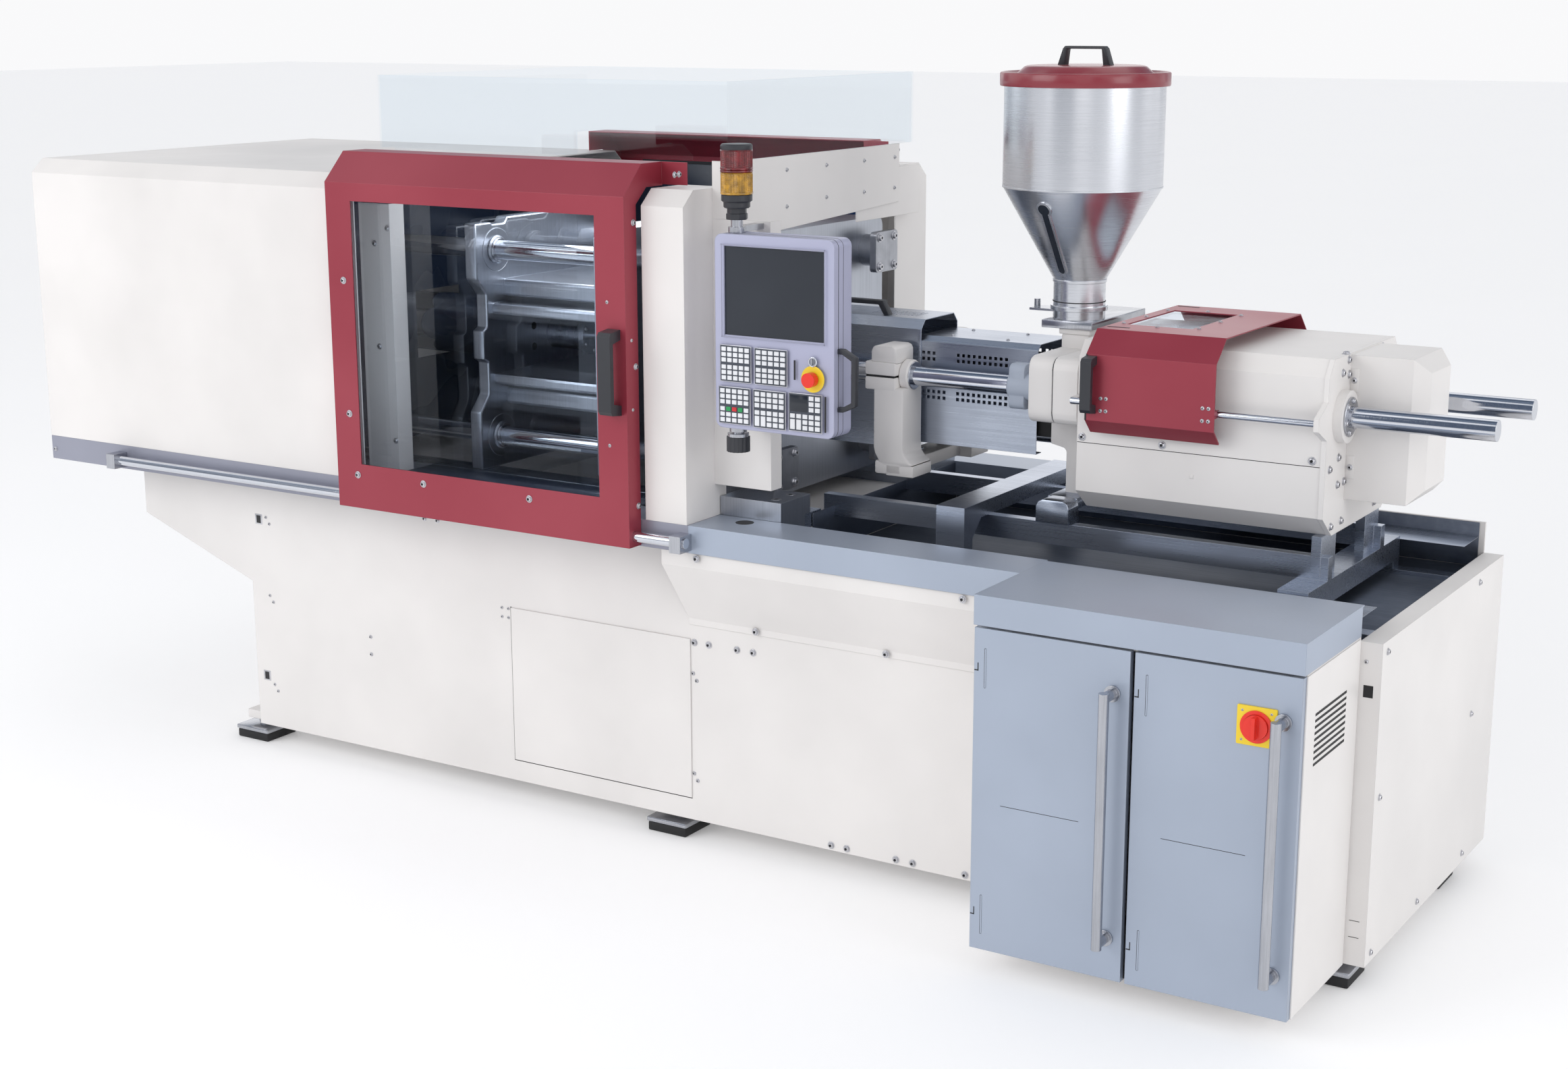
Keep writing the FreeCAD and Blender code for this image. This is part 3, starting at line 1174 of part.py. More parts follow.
def make_hopper_lid():
    """Shallow domed lid with a skirt and a trapezoid grip."""
    spot = (s.hopper_x, s.centre_y)
    skirt = (s.lid_top - s.lid_skirt, s.lid_top)
    rise = s.lid_top + s.lid_rise
    w = s.lid_wall
    outside = fuse(rod("z", spot, s.lid_radius, skirt),
                   cone(spot, s.lid_radius, s.lid_radius / 2, (s.lid_top, rise)))
    inside = rod("z", spot, s.lid_radius - w,
                 (skirt[0] - w, s.hopper_top + s.slide_gap))
    half, bar = s.lid_grip_half, s.lid_grip_bar
    x = s.hopper_x
    top, low = s.lid_grip_top, s.lid_top
    slope = bar * 2
    grip = prism("y", [(x - half, low), (x - half + slope, top), (x + half - slope, top),
                       (x + half, low), (x + half - bar, low), (x + half - slope - bar, top - bar),
                       (x - half + slope + bar, top - bar), (x - half + bar, low)],
                 both(s.lid_grip_width / 2))
    keep("hopper_lid", fuse(cut(outside, inside), cut(grip, block(
        (x - half, x + half), both(s.lid_grip_width), (low - bar, low + s.lid_rise / 3)))))


# ---------------------------------------------------------------- cabinets

cabinet_right = s.cabinet_left + s.cabinet_width
cabinet_front = s.centre_y - s.cabinet_half


def make_cabinet():
    """Control cabinet body, open at the front, and its cap."""
    t = s.cabinet_sheet
    x = (s.cabinet_left, cabinet_right)
    front = cabinet_front + s.cabinet_door + s.slide_gap
    z = (s.cabinet_base, s.cabinet_top)
    collar = block((x[0] + t, x[1] - t), (front + t, base_front), (z[1], s.cap_high - t))
    shell = cut(fuse(block(x, (front, base_front), z), collar),
                block((x[0] + t, x[1] - t), (front - t, base_front - t), (z[0] + t, z[1] - t)),
                block((x[0] + t * 2, x[1] - t * 2), (front + t * 2, base_front - t),
                      (z[1] - t * 2, s.cap_high - t * 2)))
    keep("cabinet_body", shell)
    low = s.bed_top - s.rail_depth + s.sheet / 2
    back = s.centre_y - s.cap_back
    keep("cabinet_cap", cut(block(x, (cabinet_front, back), (low, s.cap_high)),
                            block((x[0] - t, x[1] - t), (cabinet_front + t, back + t),
                                  (low - t, s.cap_high - t)),
                            block((x[0] - t, x[1] + t), (base_front, back + t),
                                  (low - t, wall_top))))


def make_cabinet_door(name, x):
    """Pan-shaped cabinet door."""
    t = s.door_edge
    y = (cabinet_front, cabinet_front + s.cabinet_door)
    z = (s.cabinet_base, s.cabinet_top)
    pan = cut(block(x, y, z), block((x[0] + t, x[1] - t), (y[0] + t, y[1] + t),
                                    (z[0] + t, z[1] - t)))
    keep(name, pan)


def make_pull(name, x):
    """Tubular pull handle on two round flanges."""
    out = cabinet_front - s.pull_reach + s.pull_radius
    r = s.pull_radius
    solid = [rod("z", (x, out), r, (s.pull_low, s.pull_high))]
    for z in (s.pull_low + r, s.pull_high - r):
        solid.append(rod("y", (x, z), r, (out, cabinet_front)))
        solid.append(rod("y", (x, z), s.pull_flange,
                         (cabinet_front - s.pull_flange_thick, cabinet_front)))
    keep(name, fuse(*solid))


def make_main_switch():
    """Rotary main switch with a raised grip."""
    face = cabinet_front - s.slide_gap
    grip = s.switch_grip / 2
    top = face - s.switch_height
    keep("main_switch", fuse(
        rod("y", (s.switch_x, s.switch_z), s.switch_radius, (top, face)),
        block((s.switch_x - grip, s.switch_x + grip), (top - s.switch_grip_height, top),
              (s.switch_z - s.switch_radius * 0.9, s.switch_z + s.switch_radius * 0.9))))


def make_end_cabinet():
    """Hollow end box on the right of the base."""
    t = s.cabinet_sheet
    x = (s.base_right, s.end_cabinet_right)
    y = both(s.end_cabinet_half)
    z = (s.base_bottom, s.end_cabinet_top)
    keep("end_cabinet", cut(block(x, y, z), block((x[0] - t, x[1] - t), (y[0] + t, y[1] - t),
                                                  (z[0] + t, z[1] - t))))


# ---------------------------------------------------------------- screws

def socket_screw(spot, axis, way):
    """One socket-head screw, its head standing on a face."""
    side = Vector(*[way if name == axis else 0 for name in "xyz"])
    head = Part.makeCylinder(s.screw_head.value, s.screw_head_height.value, spot, side)
    tip_spot = spot + side * (s.screw_head_height.value - s.screw_socket_depth.value)
    hexagon = Part.makePolygon([
        Vector(s.screw_socket.value * math.cos(math.pi / 3 * k),
               s.screw_socket.value * math.sin(math.pi / 3 * k), 0) for k in range(7)])
    socket = Part.Face(hexagon).extrude(Vector(0, 0, s.screw_head_height.value))
    socket.Placement = Placement(tip_spot, Rotation(Vector(0, 0, 1), side))
    return head.cut(socket)


def make_machine_screws():
    """Socket-head screws of the tie bar caps, as one group."""
    face = s.tie_plate_x.value + s.tie_plate_thick.value
    heads = []
    for y, z in TIE_SPOTS:
        for a in (-1, 1):
            for b in (-1, 1):
                spot = Vector(face, y.value + s.tie_bolt.value * a, z.value + s.tie_bolt.value * b)
                heads.append(socket_screw(spot, "x", 1))
    item = doc.addObject("Part::Feature", "screws")
    item.Shape = Part.makeCompound(heads)
    item.Placement = Placement()
    keep("machine_screws", item)


def main():
    """Build every sub-part, check it and write it."""
    make_base()
    make_access_panel()
    make_bed_rails()
    make_door_rails()
    make_bed_cap()
    make_slant_cover()
    make_feet()
    make_fixed_platen()
    make_tie_bars()
    make_tie_plates()
    make_end_platen()
    make_moving_platen()
    make_clamp_piston()
    make_ejector()
    make_clamp_cover()
    make_column_cover()
    make_clamp_shield()
    make_side_guard()
    make_guard_windows()
    make_door("door_frame", False)
    make_door("rear_door_frame", True)
    make_window("door_window", False)
    make_window("rear_door_window", True)
    make_door_handle()
    make_door_guides()
    make_panel_mount()
    make_panel_post()
    make_panel()
    make_signal_lamp()
    make_injection_rods()
    make_feed_housing()
    make_barrel()
    make_shrouds()
    make_front_bracket()
    make_carriage()
    make_drive_housing()
    make_end_plate()
    make_motor_cover()
    make_drive_cover()
    make_screw_drive()
    make_hopper()
    make_hopper_lid()
    make_cabinet()
    make_cabinet_door("cabinet_door_left", (s.cabinet_left + s.panel_gap, s.left_door_right))
    make_cabinet_door("cabinet_door_right", (s.right_door_left, cabinet_right - s.panel_gap))
    make_pull("cabinet_handle_left", s.left_pull_x)
    make_pull("cabinet_handle_right", s.right_pull_x)
    make_main_switch()
    make_end_cabinet()
    make_machine_screws()

    doc.recompute()
    for item in doc.Objects:
        if "Invalid" in item.State or "Error" in item.State:
            raise RuntimeError(f"{item.Label} failed: {item.State}")
    os.makedirs("parts", exist_ok=True)
    for item in PARTS:
        shape = item.Shape
        if shape.isNull() or not shape.isValid():
            raise RuntimeError(f"{item.Label} has no valid shape")
        shape.exportStep(f"parts/{item.Label}.step")
        print(item.Label, len(shape.Solids), round(shape.Volume / 1e6, 3))
    print(len(PARTS), "sub-parts")


main()
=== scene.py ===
"""Finishes and fittings of an injection moulding machine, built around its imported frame.

Lengths are in metres. X runs from the clamp end to the injection end, Y from the operator
to the rear, Z up. Each sub-assembly is a class that builds its own pieces, and each finish
is a small class that makes one material.
"""

import logging
import math
from dataclasses import dataclass, field
from enum import Enum
from typing import Callable, Iterable, Sequence

import bmesh
import bpy
from mathutils import Matrix, Vector


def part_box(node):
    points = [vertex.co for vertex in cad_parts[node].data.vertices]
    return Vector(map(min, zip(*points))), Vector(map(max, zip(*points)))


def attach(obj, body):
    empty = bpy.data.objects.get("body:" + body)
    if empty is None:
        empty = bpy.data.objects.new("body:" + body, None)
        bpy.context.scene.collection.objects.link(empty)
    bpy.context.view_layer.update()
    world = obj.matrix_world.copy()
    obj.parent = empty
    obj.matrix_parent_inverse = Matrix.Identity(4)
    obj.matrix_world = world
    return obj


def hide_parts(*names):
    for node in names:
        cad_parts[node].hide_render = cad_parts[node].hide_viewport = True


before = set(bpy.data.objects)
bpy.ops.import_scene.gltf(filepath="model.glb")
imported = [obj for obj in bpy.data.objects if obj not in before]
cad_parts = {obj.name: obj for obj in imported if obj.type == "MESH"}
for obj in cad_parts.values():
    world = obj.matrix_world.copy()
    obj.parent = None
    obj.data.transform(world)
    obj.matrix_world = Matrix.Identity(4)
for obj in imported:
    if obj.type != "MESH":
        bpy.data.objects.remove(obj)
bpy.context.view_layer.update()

logging.basicConfig(level=logging.INFO, format="%(name)s: %(message)s")
log = logging.getLogger("machine")

Point = tuple[float, float, float]
Flat = tuple[float, float]
Colour = tuple[float, float, float, float]
CENTRE_Y = 0.118        # middle plane of the machine
AXIS_Z = 1.266          # height of the clamp and injection axis
TIE_Y, TIE_Z = 0.2637, 0.2655   # tie bars, out from that axis
ROD_Y = 0.1584          # injection guide rods, out from the middle plane
HOUSING_HALF = 0.2495   # half the width of the drive housing
PLATE_X = 1.779         # outer face of the injection end plate
POST_AT = (0.387, -0.485)       # axis of the panel's pivot post


# ---------------------------------------------------------------- small helpers

def srgb(red: int, green: int, blue: int) -> Colour:
    """Turn a colour named on the usual 0 to 255 scale into scene values.

    Args:
        red: Red part, 0 to 255.
        green: Green part, 0 to 255.
        blue: Blue part, 0 to 255.

    Returns:
        The linear colour with full opacity.
    """
    def linear(part: int) -> float:
        """Undo the display curve of one channel."""
        share = part / 255
        return share / 12.92 if share <= 0.04045 else ((share + 0.055) / 1.055) ** 2.4

    return linear(red), linear(green), linear(blue), 1.0


def toned(colour: Colour, scale: float, lift: float = 0.0) -> Colour:
    """A lighter or darker tone of a colour.

    Args:
        colour: The colour.
        scale: Factor on each channel.
        lift: What is then added to each channel.

    Returns:
        The tone, no channel above 1.
    """
    return tuple(min(1.0, part * scale + lift) for part in colour[:3]) + (1.0,)


class Axis(Enum):
    """A direction that a rod, screw or outline points along."""

    X = Vector((1, 0, 0))
    Y = Vector((0, 1, 0))
    Z = Vector((0, 0, 1))
    FRONT = Vector((0, -1, 0))

    def turn(self) -> Matrix:
        """Rotation that lays the local Z axis along this direction."""
        return self.value.to_track_quat("Z", "Y").to_matrix().to_4x4()


@dataclass(frozen=True)
class Span:
    """The box that one or more CAD nodes fill at rest."""

    low: Vector
    high: Vector

    @classmethod
    def of(cls, *nodes: str) -> "Span":
        """Measure CAD nodes.

        Args:
            nodes: Names of the nodes.

        Returns:
            The box around them all.
        """
        boxes = [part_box(node) for node in nodes]
        low = Vector([min(box[0][k] for box in boxes) for k in range(3)])
        high = Vector([max(box[1][k] for box in boxes) for k in range(3)])
        return cls(low, high)


# ---------------------------------------------------------------- shader groups

class Graph:
    """A thin wrapper around a node tree that adds nodes and joins them by name."""

    def __init__(self, tree: bpy.types.NodeTree) -> None:
        """Start on a tree with nothing in it."""
        self.tree = tree
        tree.nodes.clear()

    def add(self, kind: str, settings: dict | None = None, **inputs: object) -> bpy.types.Node:
        """Add a node.

        Args:
            kind: Node type without the ShaderNode prefix.
            settings: Properties of the node itself.
            inputs: Socket values or sources; underscores stand for spaces.

        Returns:
            The new node.
        """
        name = kind if kind.startswith("NodeGroup") else "ShaderNode" + kind
        node = self.tree.nodes.new(name)
        for key, value in (settings or {}).items():
            setattr(node, key, value)
        for key, value in inputs.items():
            self.feed(node, key.replace("_", " "), value)
        return node

    def feed(self, node: bpy.types.Node, socket: str | int, value: object) -> None:
        """Set a socket, or link it to another node's socket.

        Args:
            node: Node that takes the value.
            socket: Name or index of its input.
            value: A plain value, or an output socket.
        """
        if isinstance(socket, str) and socket.startswith("in") and socket[2:].isdigit():
            socket = int(socket[2:])
        target = node.inputs[socket]
        if isinstance(value, bpy.types.NodeSocket):
            self.tree.links.new(value, target)
        else:
            target.default_value = value

    def math(self, operation: str, *values: object, clamp: bool = False) -> bpy.types.NodeSocket:
        """Add a Math node.

        Args:
            operation: What it does.
            values: Its inputs in order.
            clamp: Whether the result is held between 0 and 1.

        Returns:
            Its result.
        """
        node = self.add("Math", {"operation": operation, "use_clamp": clamp})
        for index, value in enumerate(values):
            self.feed(node, index, value)
        return node.outputs[0]

    def mix(self, share: object, first: object, second: object) -> bpy.types.NodeSocket:
        """Blend two colours.

        Args:
            share: How much of the second colour, 0 to 1.
            first: The first colour.
            second: The second colour.

        Returns:
            The colour.
        """
        node = self.add("Mix", {"data_type": "RGBA"})
        self.feed(node, 0, share)
        self.feed(node, 6, first)
        self.feed(node, 7, second)
        return node.outputs[2]

    def span(self, value: object, low: float, high: float, to_low: float, to_high: float
             ) -> bpy.types.NodeSocket:
        """Map a value from one range to another.

        Args:
            value: The value.
            low: Lower end of its range.
            high: Upper end of its range.
            to_low: Result at the lower end and beyond.
            to_high: Result at the upper end and beyond.

        Returns:
            The result.
        """
        node = self.add("MapRange", {"clamp": True}, Value=value, From_Min=low, From_Max=high,
                        To_Min=to_low, To_Max=to_high)
        return node.outputs[0]

    def place(self, scale: object = None) -> bpy.types.NodeSocket:
        """Position on the object.

        Args:
            scale: How it is stretched along each axis, if at all.

        Returns:
            The position.
        """
        where = self.add("TexCoord").outputs["Object"]
        if scale is None:
            return where
        return self.add("Mapping", {"vector_type": "POINT"}, Vector=where, Scale=scale).outputs[0]


def effect(name: str, inputs: dict[str, tuple[str, object]], outputs: dict[str, str],
           body: Callable[[Graph, bpy.types.Node], dict[str, bpy.types.NodeSocket]]
           ) -> bpy.types.NodeTree:
    """Make one shared shader node group.

    Args:
        name: Name of the group.
        inputs: Socket name to its kind and usual value.
        outputs: Socket name to its kind.
        body: Builds the inside from the graph and its input node.

    Returns:
        The group.
    """
    tree = bpy.data.node_groups.new(name, "ShaderNodeTree")
    for socket, (kind, value) in inputs.items():
        made = tree.interface.new_socket(socket, in_out="INPUT", socket_type="NodeSocket" + kind)
        if value is not None:
            made.default_value = value
    for socket, kind in outputs.items():
        tree.interface.new_socket(socket, in_out="OUTPUT", socket_type="NodeSocket" + kind)
    graph = Graph(tree)
    entry = tree.nodes.new("NodeGroupInput")
    leave = tree.nodes.new("NodeGroupOutput")
    for socket, source in body(graph, entry).items():
        tree.links.new(source, leave.inputs[socket])
    return tree


def paint_peel(graph: Graph, entry: bpy.types.Node) -> dict[str, bpy.types.NodeSocket]:
    """Orange peel of a baked powder coat, with slow drifts of tone across a sheet.

    Args:
        graph: The group's graph.
        entry: Node that holds the group's inputs.

    Returns:
        Output name to its source.
    """
    where = graph.place()
    fine = graph.add("TexNoise", Vector=where, Scale=entry.outputs["Grain"], Detail=2.0)
    slow = graph.add("TexNoise", Vector=where, Scale=2.2, Detail=3.0)
    height = graph.math("MULTIPLY", fine.outputs[0], entry.outputs["Depth"])
    return {"Height": height, "Tone": slow.outputs[0]}


def rubbed_edges(graph: Graph, entry: bpy.types.Node) -> dict[str, bpy.types.NodeSocket]:
    """Where a rounded normal leaves the true one, broken up by noise: a worn edge.

    Args:
        graph: The group's graph.
        entry: Node that holds the group's inputs.

    Returns:
        Output name to its source.
    """
    true = graph.add("NewGeometry").outputs["True Normal"]
    dot = graph.add("VectorMath", {"operation": "DOT_PRODUCT"}, in0=true,
                    in1=entry.outputs["Rounded Normal"]).outputs["Value"]
    turned = graph.span(dot, 0.998, 0.90, 0.0, 1.0)
    patch = graph.add("TexNoise", Vector=graph.place(), Scale=26.0, Detail=4.0).outputs[0]
    broken = graph.span(patch, 0.42, 0.62, 0.15, 1.0)
    worn = graph.math("MULTIPLY", turned, broken)
    return {"Mask": graph.math("MULTIPLY", worn, entry.outputs["Amount"], clamp=True)}


def settled_dust(graph: Graph, entry: bpy.types.Node) -> dict[str, bpy.types.NodeSocket]:
    """A thin film that lies on faces that look up, thicker in soft patches.

    Args:
        graph: The group's graph.
        entry: Node that holds the group's inputs.

    Returns:
        Output name to its source.
    """
    normal = graph.add("NewGeometry").outputs["Normal"]
    up = graph.add("SeparateXYZ", Vector=normal).outputs["Z"]
    facing = graph.span(up, 0.55, 1.0, 0.0, 1.0)
    patch = graph.add("TexNoise", Vector=graph.place(), Scale=7.0, Detail=5.0).outputs[0]
    lying = graph.math("MULTIPLY", facing, graph.span(patch, 0.35, 0.7, 0.25, 1.0))
    return {"Mask": graph.math("MULTIPLY", lying, entry.outputs["Amount"], clamp=True)}


def brush_marks(graph: Graph, entry: bpy.types.Node) -> dict[str, bpy.types.NodeSocket]:
    """Long fine scratches left by a belt or brush, along the axis with the least stretch.

    Args:
        graph: The group's graph.
        entry: Node that holds the group's inputs.

    Returns:
        Output name to its source.
    """
    drawn = graph.add("VectorMath", {"operation": "MULTIPLY"}, in0=graph.place(),
                      in1=entry.outputs["Stretch"]).outputs[0]
    lines = graph.add("TexNoise", Vector=drawn, Scale=1.0, Detail=6.0, Roughness=0.65)
    broad = graph.add("TexNoise", Vector=graph.place(), Scale=5.0, Detail=3.0)
    height = graph.math("MULTIPLY", lines.outputs[0], entry.outputs["Depth"])
    tone = graph.math("MULTIPLY_ADD", lines.outputs[0], 0.65,
                      graph.math("MULTIPLY", broad.outputs[0], 0.35))
    return {"Height": height, "Tone": tone}


def cutter_marks(graph: Graph, entry: bpy.types.Node) -> dict[str, bpy.types.NodeSocket]:
    """Overlapping arcs that a face mill leaves on a plate.

    Args:
        graph: The group's graph.
        entry: Node that holds the group's inputs.

    Returns:
        Output name to its source.
    """
    cells = graph.add("TexVoronoi", {"feature": "F1"}, Vector=graph.place(), Scale=9.0)
    arcs = graph.math("MULTIPLY", cells.outputs["Distance"], entry.outputs["Rate"])
    wave = graph.math("SINE", arcs)
    rough = graph.add("TexNoise", Vector=graph.place(), Scale=34.0, Detail=5.0).outputs[0]
    mixed = graph.math("MULTIPLY_ADD", wave, 0.25, rough)
    return {"Height": graph.math("MULTIPLY", mixed, entry.outputs["Depth"]),
            "Tone": graph.math("MULTIPLY_ADD", rough, 0.8, 0.1)}


class Effects:
    """The shared shader groups, each built once."""

    def __init__(self) -> None:
        """Build every group."""
        shade = {"Height": "Float", "Tone": "Float"}
        self.peel = effect("paint_peel", {"Grain": ("Float", 900.0), "Depth": ("Float", 0.5)},
                           shade, paint_peel)
        self.edges = effect("rubbed_edges", {"Rounded Normal": ("Vector", None),
                                             "Amount": ("Float", 0.5)},
                            {"Mask": "Float"}, rubbed_edges)
        self.dust = effect("settled_dust", {"Amount": ("Float", 0.2)}, {"Mask": "Float"},
                           settled_dust)
        self.brush = effect("brush_marks", {"Stretch": ("Vector", (4.0, 300.0, 300.0)),
                                            "Depth": ("Float", 0.5)}, shade, brush_marks)
        self.cutter = effect("cutter_marks", {"Rate": ("Float", 900.0),
                                              "Depth": ("Float", 0.5)}, shade, cutter_marks)


EFFECTS = Effects()


def use(graph: Graph, group: bpy.types.NodeTree, **inputs: object) -> bpy.types.Node:
    """Place a shared group in a material with its own values.

    Args:
        graph: The material's graph.
        group: The shared group.
        inputs: Socket values or sources; underscores stand for spaces.

    Returns:
        The group node.
    """
    node = graph.tree.nodes.new("ShaderNodeGroup")
    node.node_tree = group
    for key, value in inputs.items():
        graph.feed(node, key.replace("_", " "), value)
    return node


# ---------------------------------------------------------------- finishes

class Finish:
    """A finish makes one material and keeps it."""

    name: str
    colour: Colour
    made: dict[str, bpy.types.Material] = {}

    def material(self) -> bpy.types.Material:
        """Build the material the first time it is asked for.

        Returns:
            The material of this finish.
        """
        if self.name not in Finish.made:
            material = bpy.data.materials.new(self.name)
            material.use_nodes = True
            graph = Graph(material.node_tree)
            output = graph.add("OutputMaterial")
            graph.feed(output, "Surface", self.shader(graph))
            material.diffuse_color = self.colour
            Finish.made[self.name] = material
        return Finish.made[self.name]


@dataclass(frozen=True)
class PowderCoat(Finish):
    """Baked paint: orange peel, rubbed edges and a film of dust on top faces."""

    name: str
    colour: Colour
    roughness: float = 0.42
    peel: float = 0.25
    grain: float = 900.0
    metal: float = 0.0
    coat: float = 0.0
    wear: float = 0.35
    dust: float = 0.12
    edge: float = 0.002

    def shader(self, graph: Graph) -> bpy.types.NodeSocket:
        """Build the nodes.

        Args:
            graph: The material's graph.

        Returns:
            The surface.
        """
        round_off = graph.add("Bevel", {"samples": 4}, Radius=self.edge)
        peel = use(graph, EFFECTS.peel, Grain=self.grain, Depth=self.peel)
        worn = use(graph, EFFECTS.edges, Rounded_Normal=round_off.outputs[0], Amount=self.wear)
        dust = use(graph, EFFECTS.dust, Amount=self.dust)
        light = toned(self.colour, 1.05, 0.012)
        deep = toned(self.colour, 0.95)
        rubbed = toned(self.colour, 0.6, 0.22)
        base = graph.mix(graph.span(peel.outputs["Tone"], 0.3, 0.7, 0.0, 1.0), deep, light)
        base = graph.mix(worn.outputs["Mask"], base, rubbed)
        base = graph.mix(dust.outputs["Mask"], base, srgb(206, 204, 200))
        rough = graph.span(peel.outputs["Tone"], 0.25, 0.75, self.roughness - 0.05,
                           self.roughness + 0.06)
        rough = graph.math("MULTIPLY_ADD", dust.outputs["Mask"], 0.5, rough, clamp=True)
        bump = graph.add("Bump", Strength=0.12, Distance=0.0006, Height=peel.outputs["Height"],
                         Normal=round_off.outputs[0])
        shader = graph.add("BsdfPrincipled", Base_Color=base, Roughness=rough, Metallic=self.metal,
                           Coat_Weight=self.coat, Coat_Roughness=0.12, Normal=bump.outputs[0])
        return shader.outputs[0]


@dataclass(frozen=True)
class Steel(Finish):
    """Bare or brushed metal whose marks run along one axis."""

    name: str
    colour: Colour
    roughness: float = 0.3
    stretch: Point = (3.0, 260.0, 260.0)
    depth: float = 0.5
    contrast: float = 0.25
    anisotropy: float = 0.0
    edge: float = 0.0015
    dust: float = 0.0

    def shader(self, graph: Graph) -> bpy.types.NodeSocket:
        """Build the nodes.

        Args:
            graph: The material's graph.

        Returns:
            The surface.
        """
        round_off = graph.add("Bevel", {"samples": 4}, Radius=self.edge)
        marks = use(graph, EFFECTS.brush, Stretch=self.stretch, Depth=self.depth)
        worn = use(graph, EFFECTS.edges, Rounded_Normal=round_off.outputs[0], Amount=0.6)
        dust = use(graph, EFFECTS.dust, Amount=self.dust)
        deep = toned(self.colour, 1 - self.contrast)
        light = toned(self.colour, 1 + self.contrast)
        bright = toned(self.colour, 1.3, 0.12)
        base = graph.mix(graph.span(marks.outputs["Tone"], 0.3, 0.7, 0.0, 1.0), deep, light)
        base = graph.mix(worn.outputs["Mask"], base, bright)
        rough = graph.span(marks.outputs["Tone"], 0.3, 0.7, self.roughness + 0.08,
                           max(0.03, self.roughness - 0.06))
        rough = graph.math("MULTIPLY_ADD", dust.outputs["Mask"], 0.4, rough, clamp=True)
        bump = graph.add("Bump", Strength=0.25, Distance=0.0004, Height=marks.outputs["Height"],
                         Normal=round_off.outputs[0])
        shader = graph.add("BsdfPrincipled", Base_Color=base, Roughness=rough, Metallic=1.0,
                           Anisotropic=self.anisotropy, Normal=bump.outputs[0])
        return shader.outputs[0]


@dataclass(frozen=True)
class MilledSteel(Finish):
    """Dark machined plate with cutter arcs, oil sheen and bright edges."""

    name: str
    colour: Colour
    roughness: float = 0.4
    depth: float = 0.6
    rate: float = 1100.0

    def shader(self, graph: Graph) -> bpy.types.NodeSocket:
        """Build the nodes.

        Args:
            graph: The material's graph.

        Returns:
            The surface.
        """
        round_off = graph.add("Bevel", {"samples": 4}, Radius=0.003)
        marks = use(graph, EFFECTS.cutter, Rate=self.rate, Depth=self.depth)
        streaks = use(graph, EFFECTS.brush, Stretch=(190.0, 190.0, 5.0), Depth=0.4)
        worn = use(graph, EFFECTS.edges, Rounded_Normal=round_off.outputs[0], Amount=0.8)
        deep = toned(self.colour, 0.84)
        light = toned(self.colour, 1.12)
        tone = graph.math("MULTIPLY", graph.math("ADD", marks.outputs["Tone"],
                                                 streaks.outputs["Tone"]), 0.5)
        base = graph.mix(graph.span(tone, 0.35, 0.65, 0.0, 1.0), deep, light)
        base = graph.mix(worn.outputs["Mask"], base, srgb(214, 214, 216))
        rough = graph.span(tone, 0.3, 0.7, self.roughness + 0.1, self.roughness - 0.1)
        height = graph.math("ADD", marks.outputs["Height"], streaks.outputs["Height"])
        bump = graph.add("Bump", Strength=0.3, Distance=0.0008, Height=height,
                         Normal=round_off.outputs[0])
        shader = graph.add("BsdfPrincipled", Base_Color=base, Roughness=rough, Metallic=1.0,
                           Normal=bump.outputs[0])
        return shader.outputs[0]


@dataclass(frozen=True)
class Moulding(Finish):
    """Moulded plastic or rubber with a fine grain."""

    name: str
    colour: Colour
    roughness: float = 0.45
    grain: float = 1400.0
    depth: float = 0.4
    edge: float = 0.0012
    glow: float = 0.0

    def shader(self, graph: Graph) -> bpy.types.NodeSocket:
        """Build the nodes.

        Args:
            graph: The material's graph.

        Returns:
            The surface.
        """
        round_off = graph.add("Bevel", {"samples": 4}, Radius=self.edge)
        peel = use(graph, EFFECTS.peel, Grain=self.grain, Depth=self.depth)
        dust = use(graph, EFFECTS.dust, Amount=0.08)
        worn = use(graph, EFFECTS.edges, Rounded_Normal=round_off.outputs[0], Amount=0.25)
        light = toned(self.colour, 1.12, 0.006)
        deep = toned(self.colour, 0.88)
        pale = toned(self.colour, 0.7, 0.08)
        base = graph.mix(graph.span(peel.outputs["Tone"], 0.3, 0.7, 0.0, 1.0), deep, light)
        base = graph.mix(worn.outputs["Mask"], base, pale)
        base = graph.mix(dust.outputs["Mask"], base, srgb(150, 150, 150))
        rough = graph.span(peel.outputs["Tone"], 0.25, 0.75, self.roughness - 0.05,
                           self.roughness + 0.07)
        bump = graph.add("Bump", Strength=0.15, Distance=0.0004, Height=peel.outputs["Height"],
                         Normal=round_off.outputs[0])
        shader = graph.add("BsdfPrincipled", Base_Color=base, Roughness=rough,
                           Normal=bump.outputs[0], Emission_Color=self.colour,
                           Emission_Strength=self.glow)
        return shader.outputs[0]


